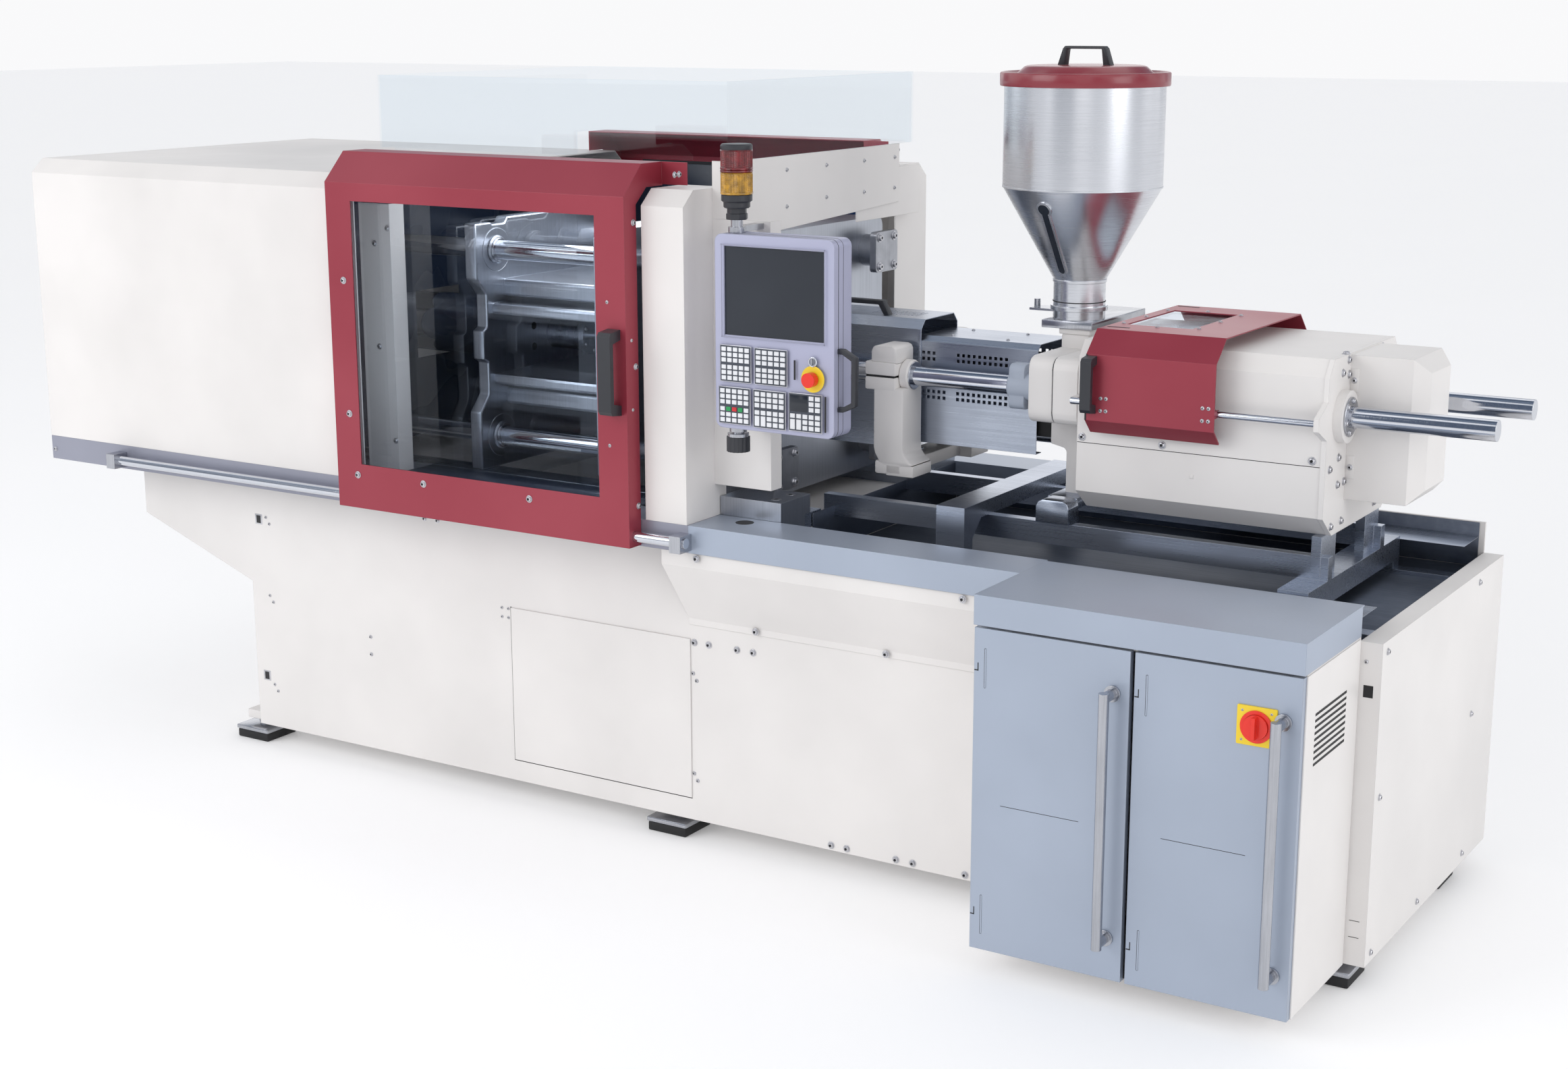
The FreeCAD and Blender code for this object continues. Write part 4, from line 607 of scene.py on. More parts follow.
@dataclass(frozen=True)
class Glazing(Finish):
    """Clear or tinted sheet that lets shadow rays through; faint smears on its face."""

    name: str
    colour: Colour
    shade: Colour = (0.9, 0.93, 0.95, 1.0)
    roughness: float = 0.01
    clearness: float = 0.7

    def shader(self, graph: Graph) -> bpy.types.NodeSocket:
        """Build the nodes.

        Args:
            graph: The material's graph.

        Returns:
            The surface.
        """
        smear = graph.add("TexNoise", Vector=graph.place((1.0, 1.0, 3.0)), Scale=6.0, Detail=4.0)
        rough = graph.span(smear.outputs[0], 0.45, 0.75, self.roughness, self.roughness + 0.05)
        glass = graph.add("BsdfPrincipled", Base_Color=self.colour, Roughness=rough,
                          Transmission_Weight=1.0, IOR=1.2)
        clear = graph.add("BsdfTransparent", Color=self.shade)
        rays = graph.add("LightPath")
        through = graph.math("MAXIMUM", rays.outputs["Is Shadow Ray"], self.clearness)
        blend = graph.add("MixShader")
        graph.feed(blend, 0, through)
        graph.feed(blend, 1, glass.outputs[0])
        graph.feed(blend, 2, clear.outputs[0])
        return blend.outputs[0]


@dataclass(frozen=True)
class Lens(Finish):
    """Coloured translucent lamp cover with moulded ribs."""

    name: str
    colour: Colour

    def shader(self, graph: Graph) -> bpy.types.NodeSocket:
        """Build the nodes.

        Args:
            graph: The material's graph.

        Returns:
            The surface.
        """
        where = graph.place()
        parts = graph.add("SeparateXYZ", Vector=where)
        rings = graph.math("SINE", graph.math("MULTIPLY", parts.outputs["Z"], 1400.0))
        drift = graph.add("TexNoise", Vector=where, Scale=60.0, Detail=2.0).outputs[0]
        deep = toned(self.colour, 0.45)
        base = graph.mix(graph.span(drift, 0.35, 0.7, 0.0, 1.0), deep, self.colour)
        bump = graph.add("Bump", Strength=0.35, Distance=0.0008, Height=rings)
        rough = graph.span(drift, 0.3, 0.7, 0.08, 0.2)
        shader = graph.add("BsdfPrincipled", Base_Color=base, Roughness=rough, Coat_Weight=0.5,
                           Transmission_Weight=0.35, Normal=bump.outputs[0])
        return shader.outputs[0]


@dataclass(frozen=True)
class MattFloor(Finish):
    """Matt pale floor."""

    name: str
    colour: Colour

    def shader(self, graph: Graph) -> bpy.types.NodeSocket:
        """Build the nodes.

        Args:
            graph: The material's graph.

        Returns:
            The surface.
        """
        drift = graph.add("TexNoise", Vector=graph.place(), Scale=0.6, Detail=2.0).outputs[0]
        dim = toned(self.colour, 0.985)
        base = graph.mix(drift, dim, self.colour)
        return graph.add("BsdfPrincipled", Base_Color=base, Roughness=0.9, Emission_Color=base,
                         Emission_Strength=0.13).outputs[0]


WHITE = PowderCoat("white_coat", srgb(226, 223, 221), wear=0.2)
RED = PowderCoat("red_coat", srgb(150, 48, 64), roughness=0.36, metal=0.3, coat=0.05, peel=0.15,
                 wear=0.2, dust=0.0)
CABINET = PowderCoat("cabinet_coat", srgb(166, 176, 192), roughness=0.36, metal=0.4, wear=0.3,
                     dust=0.06)
RAIL = PowderCoat("rail_coat", srgb(150, 152, 166), roughness=0.38, metal=0.4, dust=0.06)
PANEL = PowderCoat("panel_coat", srgb(172, 174, 198), roughness=0.4, metal=0.2, edge=0.004)
BLUED = Steel("blued_sheet", srgb(170, 177, 190), roughness=0.28, stretch=(3.0, 240.0, 240.0),
              contrast=0.08)
BRUSHED = Steel("brushed_plate", srgb(176, 180, 188), roughness=0.34,
                stretch=(240.0, 240.0, 3.0), depth=0.3, contrast=0.14)
TRAY = Steel("tray_sheet", srgb(98, 105, 118), roughness=0.42, contrast=0.1)
COLLAR = PowderCoat("collar_coat", srgb(172, 181, 196), roughness=0.4, dust=0.0)
# Dark navy coat that paints the shade inside the machine: on the cylinder platen and on sheets
# inside the clamp end, the mould space and the base.
NAVY_SHADE = PowderCoat("navy_painted_shade", srgb(26, 38, 58), roughness=0.28, dust=0.0, wear=0.1)
CHROME = Steel("ground_chrome", srgb(206, 209, 216), roughness=0.1, stretch=(500.0, 20.0, 20.0),
               depth=0.15, contrast=0.05)
MACHINED = MilledSteel("machined_steel", srgb(168, 170, 176), roughness=0.36, depth=0.15)
TURNED = Steel("turned_steel", srgb(176, 178, 184), roughness=0.22,
               stretch=(420.0, 12.0, 12.0), contrast=0.15)
ZINC = Steel("zinc_plate", srgb(196, 196, 200), roughness=0.3, stretch=(60.0, 60.0, 60.0),
             contrast=0.15, edge=0.0006)
STAINLESS = Steel("brushed_stainless", srgb(212, 214, 219), roughness=0.24,
                  stretch=(6.0, 6.0, 420.0), contrast=0.1, anisotropy=0.35)
LID = PowderCoat("lid_coat", srgb(132, 28, 44), roughness=0.34, coat=0.3, peel=0.15, dust=0.04)
BLACK = Moulding("black_moulding", srgb(40, 42, 48), roughness=0.4)
RUBBER = Moulding("black_rubber", srgb(26, 26, 28), roughness=0.7)
# Near-black fill that paints the shade in socket holes, slots, vents and gaps.
RECESS_SHADE = Moulding("dark_recess", srgb(16, 16, 18), roughness=0.6)
SEAM = Moulding("dark_seam", srgb(46, 46, 48), roughness=0.8)
GASKET = Moulding("window_gasket", srgb(34, 36, 44), roughness=0.6)
KEY_WHITE = Moulding("key_white", srgb(226, 228, 232), roughness=0.35)
KEY_BED = Moulding("key_bed", srgb(62, 68, 80), roughness=0.5)
KEY_GREEN = Moulding("key_green", srgb(30, 150, 80), roughness=0.35)
KEY_RED = Moulding("key_red", srgb(200, 36, 40), roughness=0.35)
STOP_RED = Moulding("stop_red", srgb(232, 46, 30), roughness=0.25, depth=0.1)
YELLOW = Moulding("signal_yellow", srgb(238, 206, 40), roughness=0.35)
SCREEN = Moulding("screen_glass", srgb(30, 36, 46), roughness=0.12, depth=0.05)
CLEAR = Glazing("clear_sheet", srgb(250, 252, 253), shade=(0.965, 0.98, 0.99, 1.0), clearness=0.93)
PANE = Glazing("door_pane", srgb(246, 250, 253), shade=(0.93, 0.96, 0.99, 1.0), clearness=0.9)
NAVY = Glazing("tinted_pane", srgb(30, 48, 78), shade=(0.05, 0.09, 0.16, 1.0), clearness=0.3)
AMBER = Lens("amber_lens", srgb(236, 176, 40))
LAMP_RED = Lens("red_lens", srgb(150, 22, 34))
FLOOR = MattFloor("studio_floor", (0.95, 0.95, 0.955, 1.0))


# ---------------------------------------------------------------- mesh building

def drawn_out(corners: Sequence[Point], shift: Point) -> bmesh.types.BMesh:
    """Draw a flat face out into a closed shape.

    Args:
        corners: Corners of the face, in order.
        shift: How far and which way it is drawn.

    Returns:
        The shape.
    """
    shape = bmesh.new()
    face = shape.faces.new([shape.verts.new(corner) for corner in corners])
    made = bmesh.ops.extrude_face_region(shape, geom=[face])
    moved = [item for item in made["geom"] if isinstance(item, bmesh.types.BMVert)]
    bmesh.ops.translate(shape, verts=moved, vec=Vector(shift))
    return shape


def soften(shape: bmesh.types.BMesh, edge: float) -> None:
    """Round all edges of a shape.

    Args:
        shape: The shape.
        edge: Width of the rounding; 0 leaves the edges sharp.
    """
    if edge:
        bmesh.ops.bevel(shape, geom=shape.edges[:], offset=edge, segments=2, profile=0.5,
                        affect="EDGES")


def circle(radius: float, sides: int) -> list[Flat]:
    """Corners of a regular polygon.

    Args:
        radius: Distance of its corners from the middle.
        sides: How many it has.

    Returns:
        The corners, from the first axis towards the second.
    """
    return [(radius * math.cos(2 * math.pi * k / sides),
             radius * math.sin(2 * math.pi * k / sides)) for k in range(sides)]


class Solid:
    """A mesh piece put together from blocks, rods, turned shapes and outlines."""

    def __init__(self, name: str, body: str, slot: str | None = None) -> None:
        """Start an empty piece.

        Args:
            name: Name of the piece.
            body: CAD body that it rides on.
            slot: Name of a material slot; kept on the piece and not used.
        """
        self.name = name
        self.body = body
        self.slot = slot
        self.mesh = bmesh.new()
        self.finishes: list[Finish] = []

    def join(self, shape: bmesh.types.BMesh, finish: Finish, place: Matrix | None = None
             ) -> None:
        """Give a shape its finish and join it to the piece.

        Args:
            shape: The shape, which is used up.
            finish: Its finish.
            place: Where it goes, if it was built elsewhere.
        """
        if finish not in self.finishes:
            self.finishes.append(finish)
        index = self.finishes.index(finish)
        if place is not None:
            bmesh.ops.transform(shape, matrix=place, verts=shape.verts)
        bmesh.ops.recalc_face_normals(shape, faces=shape.faces)
        for face in shape.faces:
            face.material_index = index
        scratch = bpy.data.meshes.new("scratch")
        shape.to_mesh(scratch)
        shape.free()
        self.mesh.from_mesh(scratch)
        bpy.data.meshes.remove(scratch)

    def block(self, low: Sequence[float], high: Sequence[float], finish: Finish,
              edge: float = 0.0) -> None:
        """Add a block.

        Args:
            low: Its lowest corner.
            high: Its highest corner.
            finish: Its finish.
            edge: Rounding of its edges.
        """
        shape = bmesh.new()
        low, high = Vector(low), Vector(high)
        grown = Matrix.Translation((low + high) / 2) @ Matrix.Diagonal((*(high - low), 1))
        bmesh.ops.create_cube(shape, size=1.0, matrix=grown)
        soften(shape, edge)
        self.join(shape, finish)

    def turned(self, at: Sequence[float], axis: Axis, profile: Sequence[Flat], finish: Finish,
               sides: int = 32) -> None:
        """Add a shape turned round an axis.

        Args:
            at: Point of the axis where the profile's height is 0.
            axis: Direction of the axis.
            profile: (radius, height) points; ends away from radius 0 are closed flat.
            finish: Its finish.
            sides: Number of sides round the axis.
        """
        shape = bmesh.new()
        rings = []
        for radius, height in profile:
            if radius <= 0:
                rings.append([shape.verts.new((0, 0, height))])
                continue
            rings.append([shape.verts.new((u, v, height)) for u, v in circle(radius, sides)])
        for one, two in zip(rings, rings[1:]):
            for k in range(sides):
                corners = [one[k % len(one)], one[(k + 1) % len(one)],
                           two[(k + 1) % len(two)], two[k % len(two)]]
                unique = list(dict.fromkeys(corners))
                if len(unique) > 2:
                    shape.faces.new(unique)
        for ring in (rings[0], rings[-1]):
            if len(ring) > 1:
                shape.faces.new(ring)
        self.join(shape, finish, Matrix.Translation(Vector(at)) @ axis.turn())

    def rod(self, at: Sequence[float], axis: Axis, length: float, radius: float, finish: Finish,
            edge: float = 0.0, sides: int = 32) -> None:
        """Add a round bar.

        Args:
            at: Middle of its foot.
            axis: Which way it runs.
            length: Its length.
            radius: Its radius.
            finish: Its finish.
            edge: Chamfer of its two rims.
            sides: Number of sides round the axis.
        """
        profile = [(radius - edge, 0.0), (radius, edge), (radius, length - edge),
                   (radius - edge, length)]
        self.turned(at, axis, profile, finish, sides)

    def ring(self, at: Sequence[float], axis: Axis, length: float, inner: float, outer: float,
             finish: Finish, edge: float = 0.0, sides: int = 48) -> None:
        """Add a sleeve with a bore.

        Args:
            at: Middle of its foot.
            axis: Which way it runs.
            length: Its length.
            inner: Radius of the bore.
            outer: Radius of the outside.
            finish: Its finish.
            edge: Chamfer of its outer rims.
            sides: Number of sides round the axis.
        """
        shape = bmesh.new()
        section = [(inner, 0.0), (outer - edge, 0.0), (outer, edge), (outer, length - edge),
                   (outer - edge, length), (inner, length)]
        rings = [[shape.verts.new((u, v, h)) for u, v in circle(r, sides)] for r, h in section]
        for one, two in zip(rings, rings[1:] + rings[:1]):
            for k in range(sides):
                n = (k + 1) % sides
                shape.faces.new([one[k], one[n], two[n], two[k]])
        bmesh.ops.remove_doubles(shape, verts=shape.verts, dist=1e-6)
        self.join(shape, finish, Matrix.Translation(Vector(at)) @ axis.turn())

    def prism(self, outline: Sequence[Flat], axis: Axis, low: float, high: float,
              finish: Finish, edge: float = 0.0) -> None:
        """Add a straight shape with a flat outline.

        Args:
            outline: Corners in the plane square to the axis: (y, z), (x, z) or (x, y).
            axis: X, Y or Z.
            low: Where it starts along the axis.
            high: Where it ends.
            finish: Its finish.
            edge: Rounding of all its edges.
        """
        spots = {Axis.X: lambda u, v, w: (w, u, v), Axis.Y: lambda u, v, w: (u, w, v),
                 Axis.Z: lambda u, v, w: (u, v, w)}[axis]
        shape = drawn_out([spots(u, v, low) for u, v in outline], spots(0, 0, high - low))
        soften(shape, edge)
        self.join(shape, finish)

    def screw(self, at: Sequence[float], axis: Axis, radius: float) -> None:
        """Add a washer and a domed socket screw.

        Args:
            at: Point of the surface that it stands on.
            axis: Direction out of that surface.
            radius: Radius of the head.
        """
        r = radius
        self.turned(at, axis, [(1.35 * r, 0.0), (1.35 * r, 0.12 * r), (1.25 * r, 0.2 * r),
                               (0.98 * r, 0.2 * r), (0.98 * r, 0.55 * r), (0.8 * r, 0.78 * r),
                               (0.52 * r, 0.86 * r), (0.5 * r, 0.4 * r)], ZINC, 14)
        # The socket's floor is near-black: painted shade in the recess.
        inner = Vector(at) + axis.value * (0.4 * r)
        self.turned(inner, axis, [(0.5 * r, 0.0), (0.5 * r, 0.03 * r)], RECESS_SHADE, 6)

    def finish(self, replaces: Iterable[str] = (), smooth: float = 35.0) -> None:
        """Turn the construction into an object that rides on its body.

        Args:
            replaces: CAD nodes that this piece stands for.
            smooth: Edges flatter than this many degrees are shaded smooth.
        """
        limit = math.radians(smooth)
        for face in self.mesh.faces:
            face.smooth = True
        for line in self.mesh.edges:
            if len(line.link_faces) == 2 and line.calc_face_angle(0.0) > limit:
                line.smooth = False
        data = bpy.data.meshes.new(self.name)
        self.mesh.to_mesh(data)
        self.mesh.free()
        for finish in self.finishes:
            data.materials.append(finish.material())
        piece = bpy.data.objects.new(self.name, data)
        bpy.context.scene.collection.objects.link(piece)
        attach(piece, self.body)
        nodes = list(replaces)
        if nodes:
            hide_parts(*nodes)
        log.info("%s: %d faces on %s", self.name, len(data.polygons), self.body)


def rounded(low: Flat, high: Flat, radius: float, steps: int = 5) -> list[Flat]:
    """Outline of a rectangle with round corners, counter-clockwise from the lower left.

    Args:
        low: Lowest corner.
        high: Highest corner.
        radius: Corner radius.
        steps: Segments in each corner.

    Returns:
        The outline's points.
    """
    centres = [(low[0] + radius, low[1] + radius, 180), (high[0] - radius, low[1] + radius, 270),
               (high[0] - radius, high[1] - radius, 0), (low[0] + radius, high[1] - radius, 90)]
    return [(x + radius * math.cos(math.radians(start + 90 * k / steps)),
             y + radius * math.sin(math.radians(start + 90 * k / steps)))
            for x, y, start in centres for k in range(steps + 1)]


def perforated(name: str, body: str, section: Sequence[Flat], ends: Flat, finish: Finish,
               thickness: float, windows: Sequence[tuple[float, float, float, float]],
               slot: str) -> Solid:
    """A folded sheet with rectangular openings cut through it.

    Args:
        name: Name of the piece.
        body: CAD body that it rides on.
        section: Fold points of the sheet as (y, z), walked round from the front hem.
        ends: Its two ends along X.
        finish: Its finish.
        thickness: Sheet thickness, laid inwards.
        windows: Openings as (x low, x high, walk low, walk high), walk along the section.
        slot: Name of a material slot, passed to the piece, which keeps it and does not use it.

    Returns:
        The piece, not yet finished.
    """
    walk = [0.0]
    for one, two in zip(section, section[1:]):
        walk.append(walk[-1] + math.dist(one, two))
    across = sorted({ends[0], ends[1], *(v for w in windows for v in w[:2])})
    along = sorted({*walk, *(v for w in windows for v in w[2:])})

    def corner(distance: float) -> Flat:
        """Point of the section.

        Args:
            distance: How far along it.

        Returns:
            The point.
        """
        for k, (one, two) in enumerate(zip(section, section[1:])):
            if distance <= walk[k + 1] + 1e-9:
                share = (distance - walk[k]) / (walk[k + 1] - walk[k])
                return (one[0] + (two[0] - one[0]) * share, one[1] + (two[1] - one[1]) * share)
        return section[-1]

    def open_at(x: float, s: float) -> bool:
        """Whether an opening holds this spot."""
        return any(w[0] < x < w[1] and w[2] < s < w[3] for w in windows)

    shape = bmesh.new()
    grid = [[shape.verts.new((x, *corner(s))) for s in along] for x in across]
    for i in range(len(across) - 1):
        for j in range(len(along) - 1):
            if not open_at((across[i] + across[i + 1]) / 2, (along[j] + along[j + 1]) / 2):
                shape.faces.new([grid[i][j], grid[i + 1][j], grid[i + 1][j + 1], grid[i][j + 1]])
    loose = [v for v in shape.verts if not v.link_faces]
    bmesh.ops.delete(shape, geom=loose, context="VERTS")
    bmesh.ops.recalc_face_normals(shape, faces=shape.faces)
    bmesh.ops.solidify(shape, geom=shape.faces[:], thickness=thickness)
    piece = Solid(name, body, slot)
    piece.join(shape, finish)
    return piece


# ---------------------------------------------------------------- finishes of the CAD nodes

NODE_FINISHES: dict[Finish, tuple[str, ...]] = {
    WHITE: ("base_frame", "slant_cover", "clamp_cover", "column_cover", "clamp_shield",
            "side_guard", "panel_mount", "feed_housing", "drive_housing", "end_plate",
            "motor_cover", "front_bracket", "cabinet_body", "end_cabinet", "access_panel"),
    # The cylinder platen takes the navy painted shade of the clamp end's inside.
    NAVY_SHADE: ("cylinder_platen",),
    RED: ("door_frame", "rear_door_frame", "drive_cover"),
    CABINET: ("cabinet_cap", "cabinet_door_left", "cabinet_door_right", "bed_cap"),
    RAIL: ("door_rails",),
    PANEL: ("panel_housing",),
    BLUED: ("carriage_frame", "barrel_shroud", "nozzle_guard", "bed_rails"),
    CHROME: ("door_guide_rods", "tie_bars", "injection_rods", "clamp_piston", "ejector_rod",
             "plasticising_screw"),
    MACHINED: ("barrel", "tie_bar_plates"),
    BRUSHED: ("moving_platen", "fixed_platen"),
    TURNED: ("rod_clamps", "ejector_cylinder", "panel_post", "hopper_gate", "drive_shaft",
             "key_switch", "cabinet_handle_left", "cabinet_handle_right", "levelling_feet"),
    ZINC: ("machine_screws",),
    STAINLESS: ("hopper",),
    LID: ("hopper_lid",),
    BLACK: ("door_handle", "cover_handle", "signal_lamp"),
    SCREEN: ("panel_screen",),
    STOP_RED: ("estop_button", "main_switch"),
    CLEAR: ("guard_windows",),
    PANE: ("door_window",),
    NAVY: ("rear_door_window",),
}


def dress_nodes() -> None:
    """Give every CAD node its finish."""
    for finish, nodes in NODE_FINISHES.items():
        for node in nodes:
            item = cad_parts[node]
            for holder in item.material_slots:
                holder.material = finish.material()
            log.info("%s: %s", node, finish.name)


# ---------------------------------------------------------------- sub-assemblies

@dataclass
class Studio:
    """Pale floor, soft lights and the camera."""

    floor_half: float = 60.0
    camera_at: Point = (3.46818, -5.16399, 2.21194)
    azimuth: float = 32.204
    elevation: float = 13.187
    roll: float = -0.131
    focal: float = 52.26
    sky_strength: float = 1.0

    def build(self) -> None:
        """Make the floor, the lights, the sky and the camera."""
        self.floor()
        self.sky()
        bpy.context.scene.view_settings.view_transform = "Standard"
        self.lamp("key_light", (-3.5, -6.5, 4.5), (-0.3, 0.0, 0.9), (5.0, 3.5), 165.0)
        self.lamp("mould_light", (-0.40, 0.00, 1.74), (-0.60, -0.10, 1.0), (0.5, 0.4), 3.0)
        self.lamp("side_light", (7.5, -1.5, 3.2), (1.0, 0.1, 1.0), (3.0, 3.0), 70.0)
        self.camera()

    def floor(self) -> None:
        """A wide pale floor at height 0."""
        shape = bmesh.new()
        bmesh.ops.create_grid(shape, x_segments=2, y_segments=2, size=self.floor_half)
        data = bpy.data.meshes.new("studio_floor")
        shape.to_mesh(data)
        shape.free()
        data.materials.append(FLOOR.material())
        floor = bpy.data.objects.new("studio_floor", data)
        bpy.context.scene.collection.objects.link(floor)

    def sky(self) -> None:
        """Even pale light from all round; the metals see soft boxes and darker walls."""
        world = bpy.data.worlds.new("studio_sky")
        bpy.context.scene.world = world
        world.use_nodes = True
        graph = Graph(world.node_tree)
        way = graph.add("TexCoord").outputs["Generated"]
        parts = graph.add("SeparateXYZ", Vector=way)
        up = parts.outputs["Z"]
        pale = graph.mix(graph.span(up, 0.0, 0.9, 0.0, 1.0), (0.95, 0.95, 0.96, 1.0),
                         (0.74, 0.75, 0.77, 1.0))
        stretched = graph.add("Mapping", {"vector_type": "POINT"}, Vector=way,
                              Scale=(1.0, 1.0, 0.35)).outputs[0]
        patch = graph.add("TexNoise", Vector=stretched, Scale=2.6, Detail=1.0).outputs[0]
        walls = graph.mix(graph.span(up, 0.0, 0.8, 0.0, 1.0), (0.56, 0.58, 0.62, 1.0),
                          (0.20, 0.25, 0.33, 1.0))
        boxes = graph.mix(graph.span(patch, 0.50, 0.56, 0.0, 1.0), walls, (1.25, 1.25, 1.27, 1.0))
        dark = graph.mix(graph.span(patch, 0.44, 0.39, 0.0, 1.0), boxes, (0.10, 0.13, 0.19, 1.0))
        glossy = graph.add("LightPath").outputs["Is Glossy Ray"]
        colour = graph.mix(glossy, pale, dark)
        light = graph.add("Background", Color=colour, Strength=self.sky_strength)
        output = graph.add("OutputWorld")
        graph.feed(output, "Surface", light.outputs[0])

    def lamp(self, name: str, at: Point, target: Point, size: Flat, power: float) -> None:
        """Add a rectangular soft light.

        Args:
            name: Name of the light.
            at: Where it hangs.
            target: What it points at.
            size: Its width and height.
            power: Its power in watts.
        """
        data = bpy.data.lights.new(name, "AREA")
        data.shape = "RECTANGLE"
        data.size, data.size_y = size
        data.energy = power
        light = bpy.data.objects.new(name, data)
        way = Vector(target) - Vector(at)
        light.location = at
        light.rotation_euler = way.to_track_quat("-Z", "Y").to_euler()
        light.visible_camera = False
        bpy.context.scene.collection.objects.link(light)

    def camera(self) -> None:
        """Set the camera at its angle."""
        data = bpy.data.cameras.new("camera")
        data.lens = self.focal
        data.sensor_width = 36.0
        data.clip_end = 500.0
        camera = bpy.data.objects.new("camera", data)
        az, el = math.radians(self.azimuth), math.radians(self.elevation)
        ahead = Vector((-math.sin(az) * math.cos(el), math.cos(az) * math.cos(el), -math.sin(el)))
        right = Vector((math.cos(az), math.sin(az), 0.0))
        above = right.cross(ahead)
        turn = math.radians(self.roll)
        side = right * math.cos(turn) + above * math.sin(turn)
        top = side.cross(ahead)
        camera.matrix_world = Matrix((
            (side.x, top.x, -ahead.x, self.camera_at[0]),
            (side.y, top.y, -ahead.y, self.camera_at[1]),
            (side.z, top.z, -ahead.z, self.camera_at[2]),
            (0.0, 0.0, 0.0, 1.0)))
        bpy.context.scene.collection.objects.link(camera)
        bpy.context.scene.camera = camera


@dataclass
class LevellingFeet:
    """Steel plates on rubber pads, each with a stud and two nuts."""

    pad: float = 0.026
    plate: float = 0.014
    half: float = 0.065
    stud: float = 0.012

    def build(self) -> None:
        """Build the six feet as one piece in place of the plain ones."""
        base = Span.of("base_frame")
        feet = Solid("levelling_feet_detail", "machine", "feet")
        spots = [(-1.485, -0.312), (-1.485, 0.548), (0.071, -0.312), (0.071, 0.548),
                 (1.915, -0.312), (1.915, 0.398)]
        for x, y in spots:
            top = base.low.z + (0.026 if x < -1.4 else 0.0)
            self.foot(feet, x, y, top)
        feet.finish(replaces=["levelling_feet"])

    def foot(self, feet: Solid, x: float, y: float, top: float) -> None:
        """Add one foot under a point.

        Args:
            feet: The piece that takes it.
            x: Stud position.
            y: Stud position.
            top: Height where the stud meets the base.
        """
        half = self.half
        feet.block((x - half + 0.003, y - half + 0.003, 0.0),
                   (x + half - 0.003, y + half - 0.003, self.pad), RUBBER, 0.004)
        feet.block((x - half, y - half, self.pad), (x + half, y + half, self.pad + self.plate),
                   TURNED, 0.004)
        under = self.pad + self.plate
        feet.rod((x, y, under), Axis.Z, top - under, self.stud, ZINC, 0.0, 20)
        if top - under > 0.03:
            feet.turned((x, y, under + 0.002), Axis.Z,
                        [(0.021, 0.0), (0.022, 0.002), (0.022, 0.013), (0.02, 0.015)], ZINC, 6)
            feet.turned((x, y, top - 0.012), Axis.Z, [(0.02, 0.0), (0.021, 0.002),
                                                     (0.021, 0.012)], ZINC, 6)


@dataclass
class SignalLamp:
    """Stack lamp: threaded neck, black base, amber and red lenses, black cap."""

    x: float = POST_AT[0]
    y: float = POST_AT[1]
    foot: float = 1.692
    radius: float = 0.0405

    def build(self) -> None:
        """Build the lamp in place of the plain one."""
        lamp = Solid("signal_lamp_detail", "machine", "lamp")
        at = (self.x, self.y, 0.0)
        r = self.radius
        lamp.turned(at, Axis.Z, [(0.026, self.foot), (0.027, self.foot + 0.003),
                                 (0.027, self.foot + 0.014), (0.0245, self.foot + 0.016),
                                 (0.0245, self.foot + 0.028)], BLACK, 8)
        lamp.turned(at, Axis.Z, [(0.030, 1.720), (0.033, 1.723), (0.033, 1.734), (0.0385, 1.738),
                                 (0.0385, 1.752), (0.036, 1.7535)], BLACK, 48)
        self.lens(lamp, 1.7535, 1.8065, AMBER)
        lamp.turned(at, Axis.Z, [(0.0385, 1.8065), (r, 1.808), (r, 1.812), (0.0385, 1.8135)],
                    LAMP_RED, 48)
        self.lens(lamp, 1.8135, 1.861, LAMP_RED)
        lamp.turned(at, Axis.Z, [(0.0385, 1.861), (0.0395, 1.863), (0.0395, 1.871),
                                 (0.036, 1.875), (0.0, 1.875)], BLACK, 48)
        lamp.finish(replaces=["signal_lamp"])

    def lens(self, lamp: Solid, low: float, high: float, finish: Finish) -> None:
        """Add one lens with a ribbed wall and a collar at each end.

        Args:
            lamp: The piece that takes it.
            low: Its lower end.
            high: Its upper end.
            finish: Its finish.
        """
        r, corners = self.radius, 72
        valley, ridge = circle(r - 0.0026, corners), circle(r - 0.0010, corners)
        outline = [(self.x + u, self.y + v)
                   for u, v in ((valley if k % 2 else ridge)[k] for k in range(corners))]
        lamp.prism(outline, Axis.Z, low + 0.006, high - 0.003, finish)
        for start, end in ((low, low + 0.006), (high - 0.003, high)):
            lamp.turned((self.x, self.y, start), Axis.Z,
                        [(r - 0.001, 0.0), (r, 0.001), (r, end - start - 0.001),
                         (r - 0.001, end - start)], finish, 48)


